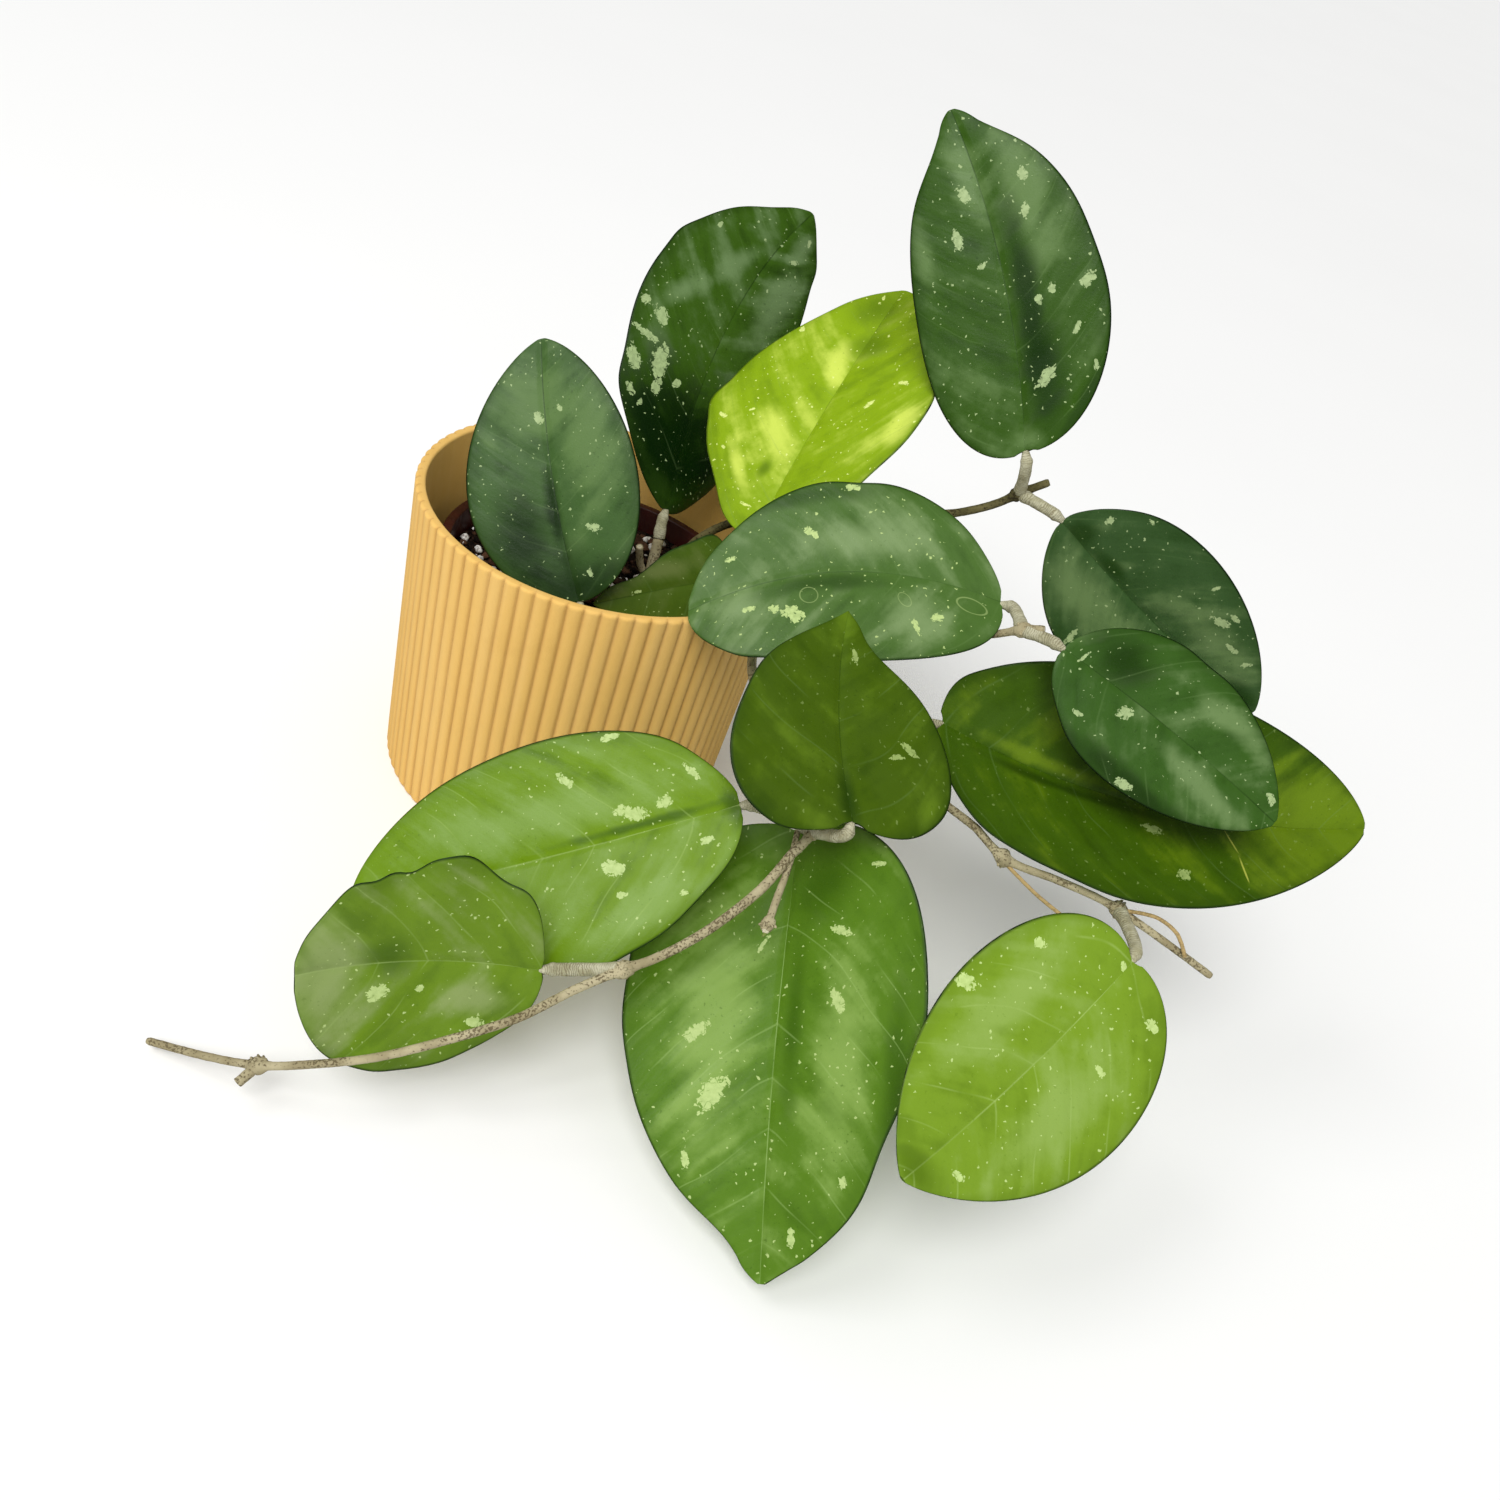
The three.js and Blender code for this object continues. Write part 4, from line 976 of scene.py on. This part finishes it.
def leaf_upper(name, leaf, look, splash):
    main, light, deep = (paint(code) for code in look["tones"])
    material, tree, shader, place = new_finish(name + "_upper", Specular_IOR_Level=0.35)
    plan, pattern = blade_plan(tree, 37.0 * len(name) + 11.0 * leaf["width"])
    margin = attribute(tree, "margin")

    out, slant, bands = quilt(tree, plan, leaf["width"])
    mottle = cloud(tree, pattern, 0.12, detail=5, roughness=0.6)
    # The bands paint sheen in the pale tone where the bump swells, and shade in the deep tone in the hollows
    # between the swells. The mottle adds tone at random.
    sheen_shade_and_mottle = calc(tree, "ADD", calc(tree, "MULTIPLY", bands, 0.65), calc(tree, "MULTIPLY", mottle, 0.35))
    body = mix(tree, rise(tree, sheen_shade_and_mottle, 0.48, 0.68, 0, 0.6), main, light)
    body = mix(tree, rise(tree, sheen_shade_and_mottle, 0.32, 0.48, 0.45, 0), body, deep)
    # Ovals of the pale tone paint sheen, and on the lime light shining through the blade. Ovals of the deep
    # tone paint shade where the blade lies in shadow, and in a few places the leaf's own deep colour.
    for key, shade in (("painted_sheens", light), ("shades", deep)):
        for spot in look.get(key, []):
            frayed = rise(tree, sheen_shade_and_mottle, 0.3, 0.7, 0.35, -0.35)
            reach = calc(tree, "ADD", ellipse(tree, plan, leaf, spot), frayed)
            body = mix(tree, rise(tree, reach, 0.15, 1.25, 0.85, 0), body, shade)
    body = mix(tree, rise(tree, margin, 0.78, 1.0, 0, 0.35), body, deep)
    thin, rib, valley = vein_lines(tree, out, slant, pattern)
    veins = calc(tree, "MULTIPLY", thin, look.get("veins", FAINT_VEINS))
    body = mix(tree, veins, body, paint(look.get("rib", VEIN_GREEN)))
    body = mix(tree, calc(tree, "MULTIPLY", rib, 0.5), body, paint(look["rib"]) if "rib" in look else deep)
    where = rise(tree, cloud(tree, pattern, 0.09, detail=1), 0.4, 0.62, 0, look.get("flecks", 0.3))
    flecks = rise(tree, cloud(tree, pattern, 0.8, detail=3, roughness=0.6), 0.6, 0.7)
    body = mix(tree, calc(tree, "MULTIPLY", flecks, where), body, deep)

    mask = splash_mask(tree, plan, pattern, leaf, look["patches"])
    milk = rise(tree, cloud(tree, pattern, 0.6, detail=3), 0.3, 0.65, 0.75, 1.0)
    body = mix(tree, calc(tree, "MULTIPLY", mask, milk), body, splash)
    shaken = add_node(tree, "TexNoise", {"Vector": pattern, "Scale": 0.9, "Detail": 2.0}).outputs["Color"]
    shaken = calc_vector(tree, "MULTIPLY_ADD", shaken, (1.8, 1.8, 0), pattern)
    specks = fine_dots(tree, shaken, 0.42, 0.5, 0.16)
    dots = calc(tree, "MAXIMUM", specks, fine_dots(tree, shaken, 0.16, 0.7, 0.1))
    body = mix(tree, calc(tree, "MULTIPLY", dots, 0.85 * look.get("specks", 1.0)), body, splash)
    for spot in look.get("rings", []):
        off = calc(tree, "ABSOLUTE", calc(tree, "SUBTRACT", ellipse(tree, plan, leaf, spot), 1.0))
        off = calc(tree, "ADD", off, rise(tree, mottle, 0.3, 0.7, 0, 0.05))
        body = mix(tree, rise(tree, off, 0.04, 0.12, 0.3, 0), body, splash)
    for spot in look.get("scars", []):
        reach = calc(tree, "ADD", ellipse(tree, plan, leaf, spot), rise(tree, mottle, 0.2, 0.8, -0.3, 0.3))
        body = mix(tree, rise(tree, reach, 0.4, 1.0, 0.75, 0), body, paint("b9bd4e"))
    body = mix(tree, rise(tree, margin, 0.97, 0.995, 0, 0.5), body, paint(EDGE_GREEN))
    tree.links.new(body, shader.inputs["Base Color"])

    wax = cloud(tree, place, 120, detail=2)
    tree.links.new(rise(tree, wax, 0.3, 0.7, 0.34, 0.44), shader.inputs["Roughness"])
    skin = calc(tree, "MULTIPLY", cloud(tree, place, 1500, detail=2), 0.06)
    swell = calc(tree, "MULTIPLY", bands, 0.6)
    height = calc(tree, "SUBTRACT", calc(tree, "ADD", skin, swell), calc(tree, "MULTIPLY", valley, 0.3))
    relief(tree, shader, height, 0.0007)
    return material


# %% [markdown]
# The underside is paler and duller, with the veins a little raised, and the margin between the two
# is a thin dark line. Both are short recipes from the same helpers.

# %% Leaves: the underside and the margin


def leaf_under(name, leaf, look, splash):
    main, light = (paint(code) for code in look["tones"][:2])
    material, tree, shader, place = new_finish(name + "_under", Roughness=0.55, Specular_IOR_Level=0.3)
    plan, pattern = blade_plan(tree, 53.0 + 7.0 * leaf["width"])
    mottle = cloud(tree, pattern, 0.06, detail=4)
    body = mix(tree, rise(tree, mottle, 0.3, 0.7), main, light)
    body = mix(tree, 0.3, body, paint("a9c187"))
    out, slant, _ = quilt(tree, plan, leaf["width"])
    thin, rib, valley = vein_lines(tree, out, slant, pattern)
    body = mix(tree, calc(tree, "MAXIMUM", calc(tree, "MULTIPLY", thin, 0.35), rib), body, paint("b3c692"))
    body = mix(tree, calc(tree, "MULTIPLY", fine_dots(tree, pattern, 0.3, 0.7, 0.16), 0.5), body, splash)
    body = mix(tree, rise(tree, attribute(tree, "margin"), 0.6, 1.0, 0, 0.4), body, main)
    tree.links.new(body, shader.inputs["Base Color"])
    grain = calc(tree, "MULTIPLY", cloud(tree, place, 1300, detail=2), 0.2)
    relief(tree, shader, calc(tree, "ADD", grain, calc(tree, "MULTIPLY", valley, 0.5)), 0.0004)
    return material


def leaf_margin(slot, tones):
    material, tree, shader, place = new_finish(slot + "_margin", Roughness=0.5)
    shade = mix(tree, rise(tree, cloud(tree, place, 220), 0.3, 0.7), paint(EDGE_GREEN), paint(tones[2]))
    tree.links.new(shade, shader.inputs["Base Color"])
    relief(tree, shader, cloud(tree, place, 900), 0.0001)
    return material


for slot, names in SLOTS.items():
    edge = leaf_margin(slot, LOOKS[names[0]]["tones"])
    for name in names:
        sides = (leaf_upper, leaf_under)
        finishes = [make(name, LEAVES[name], LOOKS[name], paint(SPLASH[slot])) for make in sides]
        make_leaf(name, LEAVES[name], finishes + [edge])

# %% [markdown]
# ## Stems
# A vine is one long tube that thickens at its nodes, where leaves and side shoots start. A curve
# with a bevel would be quick, but its section can't wrinkle and its ends stay open. So a flat grid
# is rolled into a tube: each of its rows becomes one ring round the route, with its own radius, and
# the seam is merged. The ends are filled, and a cut end is inset so that its pith can be pale.

# %% Stems: their routes
FOOT_DEPTH = 28
COLLAR = (-2, 6)
NODE_SWELLING = 1.1
STALK = {"radius": 1.9, "tip": 0.8, "lead": 3.5, "turn": 0.8, "sunk": 1.2}

STEMS = {
    "stem_pot_front": dict(
        foot=(0, -44), route=[(0, -48, 93)], radius=1.6, end=1.9, nodes=[], leaves={"leaf_pot_front": 1},
        shoots=[]),
    "stem_pot_tall": dict(
        foot=(19, 6), route=[(19, 7, 92), (19, 10, 99)], radius=1.8, end=1.9, nodes=[],
        leaves={"leaf_pot_tall": 2}, shoots=[dict(route=[(19, 6, 84), (15, 5, 90), (13, 3, 98)],
                                             radius=1.3)]),
    "vine_upper_right": dict(
        foot=(28, 14), route=[
            (31, 14, 98), (42, 11, 112), (60, 4, 124), (85, -6, 139), (108, -13, 149), (121, -13, 157),
            (126, -13, 162), (134, -12, 168)],
        radius=1.6, end=1.3, nodes=[7], leaves={"leaf_top_right": 7, "leaf_right_upper": 7}, shoots=[]),
    "vine_right": dict(
        foot=(38, 4), route=[
            (40, 2, 98), (48, -4, 110), (60, -10, 117), (85, -31, 124), (108, -51, 129), (121, -60, 135),
            (128.5, -66.5, 143.5), (134, -69, 147)],
        radius=1.5, end=1.2, nodes=[7], leaves={"leaf_rim_right": 7, "leaf_right_small": 7}, shoots=[]),
    "vine_front": dict(
        foot=(41, -12), route=[
            (44, -16, 98), (51, -22, 111), (58, -31, 115), (59, -43, 109), (55, -54, 102), (58, -68, 99),
            (69, -95, 96), (79, -118, 90), (74, -127, 87), (67, -138, 81), (53, -151, 71), (41, -159, 65),
            (34, -162, 62), (21, -169, 56), (10, -175, 49), (-7, -181, 41), (-25, -184, 31), (-43, -184, 22),
            (-56, -182, 15), (-73, -177, 8), (-89, -172, 3)],
        radius=1.7, end=1.1, nodes=[2, 8, 13, 19],
        leaves={"leaf_lime": 2, "leaf_rim_small": 2, "leaf_heart": 8, "leaf_left_long": 8,
                "leaf_low_centre": 8, "leaf_left_end": 13},
        shoots=[dict(route=[(75, -119, 89), (74, -129, 85), (72, -139, 81), (70.5, -147, 77)],
                radius=1.2, knob=2),
                dict(route=[(-56, -182, 15), (-60, -186, 11)], radius=1.5)]),
    "vine_far_right": dict(
        foot=(44, -3), route=[
            (47, -7, 98), (55, -14, 111), (62, -22, 115), (70, -38, 114), (84, -61, 108), (97, -81, 102),
            (109, -91, 99), (119, -101, 98), (128, -107, 97), (137, -114, 94), (151, -119, 95),
            (165, -123, 95), (172, -125, 94), (186, -130, 91), (203, -135, 86)],
        radius=1.6, end=1.1, nodes=[7, 10, 13], leaves={"leaf_far_right": 7, "leaf_low_right": 13},
        shoots=[dict(route=[(138, -115, 93), (148, -122, 90), (156, -126, 88)], radius=0.6),
                dict(route=[(173, -126, 95), (182, -128, 97), (189, -131, 95), (193, -134, 90)],
                     radius=0.6)]),
}


# %% Stems: a smooth line through the points


def curve_point(points, span, share):
    """A point on the centripetal Catmull-Rom curve through the points, by its three levels of blending."""
    before = points[span - 1] if span else 2 * points[0] - points[1]
    last = len(points) - 1
    after = points[span + 2] if span + 2 <= last else 2 * points[last] - points[last - 1]
    p = [before, points[span], points[span + 1], after]
    knots = [0.0]
    for a, b in zip(p, p[1:]):
        knots.append(knots[-1] + math.sqrt((b - a).length))
    at = knots[1] + (knots[2] - knots[1]) * share
    for level in (1, 2, 3):
        shares = [(at - knots[k]) / (knots[k + level] - knots[k]) for k in range(len(p) - 1)]
        p = [a.lerp(b, share) for a, b, share in zip(p, p[1:], shares)]
    return p[0]


def smooth_line(points, step):
    """Points a step apart along the curve, and the length of line up to each of the given points."""
    line = [points[0]]
    marks = [0.0]
    travelled = 0.0
    for span in range(len(points) - 1):
        pieces = max(2, round((points[span + 1] - points[span]).length / step))
        for k in range(1, pieces + 1):
            spot = curve_point(points, span, k / pieces)
            travelled += (spot - line[-1]).length
            line.append(spot)
        marks.append(travelled)
    return line, marks


# %% Stems: a grid rolled up along a line
BARK, PETIOLE, AIR_ROOT, PITH, SCRAP = 0.0, 1.0, 2.0, 3.0, 4.0


def section_frames(line, radii):
    """For each point of the line the matrix that places a unit circle there, without twist."""
    frames = []
    normal = Vector((0.3, 1, 0.2))
    for k, spot in enumerate(line):
        forward = (line[min(k + 1, len(line) - 1)] - line[max(k - 1, 0)]).normalized()
        normal = (normal - normal.dot(forward) * forward).normalized()
        side = forward.cross(normal)
        turned = Matrix((normal * radii[k], side * radii[k], forward)).transposed().to_4x4()
        frames.append(Matrix.Translation(spot * MM) @ turned @ Matrix.Diagonal((MM, MM, MM, 1)))
    return frames


def lengths_along(line):
    travelled = [0.0]
    for a, b in zip(line, line[1:]):
        travelled.append(travelled[-1] + (b - a).length)
    return travelled


def add_tube(bm, line, radii, sides, kind, wrinkle=0.05):
    """Rolls a grid round the line. Each point keeps its kind and how far along the tube it is."""
    kinds, runs = bm.verts.layers.float["kind"], bm.verts.layers.float["run"]
    frames = section_frames(line, radii)
    travelled = lengths_along(line)
    last = len(line) - 1
    sheet = bmesh.ops.create_grid(bm, x_segments=last, y_segments=sides, size=0.5)["verts"]
    for vert in sheet:
        ring = round((vert.co.x + 0.5) * last)
        turn = 2 * math.pi * (vert.co.y + 0.5)
        rim = frames[ring] @ Vector((math.cos(turn), math.sin(turn), 0))
        bark = noise.noise(rim * 700) + 0.6 * noise.noise(rim * 1900)
        vert.co = rim + (rim - frames[ring].translation) * (wrinkle * bark)
        vert[kinds] = kind
        vert[runs] = travelled[ring]
    bmesh.ops.remove_doubles(bm, verts=sheet, dist=2e-6)
    open_edges = [edge for edge in bm.edges if edge.is_boundary]
    caps = bmesh.ops.edgeloop_fill(bm, edges=open_edges)["faces"]
    if kind == BARK:
        bmesh.ops.inset_individual(bm, faces=caps, thickness=0.35 * radii[-1] * MM, depth=0.1 * MM)
        for vert in {vert for cap in caps for vert in cap.verts}:
            vert[kinds] = PITH


# %% Stems: nodes, leaf stalks and whole stems


def add_lump(bm, spot, radius, direction, kind=BARK, stretch=1.35):
    """A swollen knuckle, or a small scale: an icosphere drawn out along a direction and roughened."""
    kinds = bm.verts.layers.float["kind"]
    turn = direction.to_track_quat("Z", "Y").to_matrix().to_4x4()
    shape = Matrix.Translation(spot * MM) @ turn @ Matrix.Diagonal((1, 1, stretch, 1))
    level = 3 if radius > 1 else 2
    verts = bmesh.ops.create_icosphere(bm, subdivisions=level, radius=radius * MM, matrix=shape)["verts"]
    for vert in verts:
        bump = 0.22 * noise.noise(vert.co * 420) + 0.1 * noise.noise(vert.co * 1100)
        vert.co += (vert.co - spot * MM) * bump
        vert[kinds] = kind


def add_node_knuckle(bm, spot, radius, direction, dice):
    """A node: the swollen knuckle with a few short dry scales that point along the stem."""
    add_lump(bm, spot, radius, direction)
    for _ in range(5):
        away = Vector([dice.uniform(-1, 1) for _ in range(3)])
        away = (away - away.dot(direction) * direction).normalized()
        lean = (0.6 * direction + away).normalized()
        add_lump(bm, spot + away * radius * 0.9 + direction * dice.uniform(-1.2, 1.2), 0.5, lean, BARK, 2.0)


def add_leaf_stalk(bm, node, leaf):
    """The wrinkled stalk of a leaf, from its node to just inside the base of the blade."""
    base, length, along, _, up = leaf_axes(leaf)
    course = (STALK["turn"] * (node - base).normalized() - along).normalized()
    points = [node, base + STALK["lead"] * course, base + STALK["sunk"] * along - 0.25 * up]
    line, _ = smooth_line(points, 0.4)
    total = lengths_along(line)[-1]
    radii = []
    for here in lengths_along(line):
        left = total - here
        radius = STALK["tip"] + (STALK["radius"] - STALK["tip"]) * min(1, left / 4.2) ** 0.8
        radius += 0.3 * math.exp(-((here - 2.2) / 1.8) ** 2) + 0.22 * math.exp(-((left - 3.6) / 0.7) ** 2)
        radii.append(radius * (1 + 0.04 * noise.noise(Vector((here * 0.9, length, 0)))))
    add_tube(bm, line, radii, 18, PETIOLE, wrinkle=0.04)


def stem_radii(spec, line, marks, knuckles):
    """Radius at each point of the line: tapering, with a swelling at each node and a rounded end."""
    travelled = lengths_along(line)
    radii = []
    for here in travelled:
        radius = spec["radius"] + (spec["end"] - spec["radius"]) * here / travelled[-1]
        radius += sum(NODE_SWELLING * 0.75 * math.exp(-((here - marks[k]) / 2.6) ** 2) for k in knuckles)
        radii.append(radius * (0.8 + 0.2 * min(1, (travelled[-1] - here) / 0.5)))
    return radii


def make_stem(name, spec, finish):
    bm = bmesh.new()
    bm.verts.layers.float.new("kind")
    bm.verts.layers.float.new("run")
    dice = random.Random(name)
    upright = [Vector((*spec["foot"], SOIL_TOP + rise_mm)) for rise_mm in (-FOOT_DEPTH, *COLLAR)]
    points = upright + [Vector(spot) for spot in spec["route"]]
    line, marks = smooth_line(points, 0.8)
    knuckles = [number + 2 for number in spec["nodes"]]
    add_tube(bm, line, stem_radii(spec, line, marks, knuckles), 16, BARK)
    for k in knuckles:
        add_node_knuckle(bm, points[k], spec["radius"] + 0.85, (points[k] - points[k - 1]).normalized(), dice)
    for leaf_name, number in spec["leaves"].items():
        add_leaf_stalk(bm, points[number + 2], LEAVES[leaf_name])
    for shoot in spec["shoots"]:
        shoot_line, _ = smooth_line([Vector(spot) for spot in shoot["route"]], 0.5)
        kind = AIR_ROOT if shoot["radius"] < 1 else BARK
        slim = 0.75 if "knob" in shoot else 1.0
        radii = [shoot["radius"] * (slim + (1 - slim) * k / len(shoot_line)) for k in range(len(shoot_line))]
        add_tube(bm, shoot_line, radii, 12, kind, wrinkle=0.07)
        if "knob" in shoot:
            end, direction = shoot_line[-1], (shoot_line[-1] - shoot_line[-3]).normalized()
            add_node_knuckle(bm, end, shoot["knob"], direction, dice)
            add_lump(bm, end + direction * 1.6, 1.2, direction, PITH)
            add_lump(bm, end + direction * 3.4, 0.5, direction + Vector((-0.4, 0, 0)), SCRAP, 2.4)
    bmesh.ops.recalc_face_normals(bm, faces=bm.faces)
    return finish_piece(name + "_bark", bm, [finish], [name])


# %% [markdown]
# Bark on these vines is taupe with dense brown specks, and paler and more speckled low down. The
# leaf stalks are a greyish beige with fine ring wrinkles, the air roots are ochre, a cut end shows
# pale pith. The attribute kind tells the finish which of them it is on, and run tells it how far
# along, so the rings are drawn across the stalk and the young tip of a vine can turn green.

# %% Stems: finish


def stem_bark(name, light, dark, speck, young=1e6):
    material, tree, shader, place = new_finish(name, Roughness=0.75, Specular_IOR_Level=0.3)
    kind, run = attribute(tree, "kind"), attribute(tree, "run")
    shade = cloud(tree, place, 110, detail=4)
    body = mix(tree, rise(tree, shade, 0.35, 0.68), paint(light), paint(dark))
    body = mix(tree, rise(tree, run, young, young + 45), body, paint("8f8f4a"))
    specks = cloud(tree, place, 1300, detail=3, roughness=0.6)
    where = rise(tree, cloud(tree, place, 90, detail=2), 0.35, 0.65, 0.62, 0.5)
    specks = rise(tree, calc(tree, "SUBTRACT", specks, where), 0.0, 0.05)
    body = mix(tree, calc(tree, "MULTIPLY", specks, 0.75), body, paint(speck))

    blotched = rise(tree, cloud(tree, place, 300, detail=3), 0.3, 0.7)
    petiole = mix(tree, blotched, paint("a09c7c"), paint("c2bfa3"))
    uneven = calc(tree, "ADD", run, rise(tree, cloud(tree, place, 260, detail=3), 0.2, 0.8, 0, 1.5))
    rings = calc(tree, "PINGPONG", uneven, 0.36)
    rings = calc(tree, "MULTIPLY", rise(tree, rings, 0.02, 0.16, 1, 0), rise(tree, shade, 0.4, 0.6, 0.3, 0.8))
    petiole = mix(tree, rings, petiole, paint("7d7153"))
    on_petiole = calc(tree, "COMPARE", kind, PETIOLE, 0.5)
    body = mix(tree, on_petiole, body, petiole)
    for part, code in ((AIR_ROOT, "b39a68"), (PITH, "d8cfb2"), (SCRAP, "7c8f45")):
        tinted = mix(tree, rise(tree, specks, 0, 1, 0, 0.3), paint(code), paint(speck))
        body = mix(tree, calc(tree, "COMPARE", kind, part, 0.5), body, tinted)
    tree.links.new(body, shader.inputs["Base Color"])
    grain = calc(tree, "ADD", cloud(tree, place, 800, detail=4), calc(tree, "MULTIPLY", specks, -0.3))
    furrows = calc(tree, "MULTIPLY", calc(tree, "MULTIPLY", rings, on_petiole), -0.7)
    relief(tree, shader, calc(tree, "ADD", grain, furrows), 0.00028)
    return material


finish_light = stem_bark("stem_bark", "b5ab89", "958a69", "54462b", young=430)
finish_dark = stem_bark("stem_dark", "6b6440", "4c4729", "2c2413")
for name, spec in STEMS.items():
    if name == "vine_upper_right":
        make_stem(name, spec, finish_dark)
    else:
        make_stem(name, spec, finish_light)
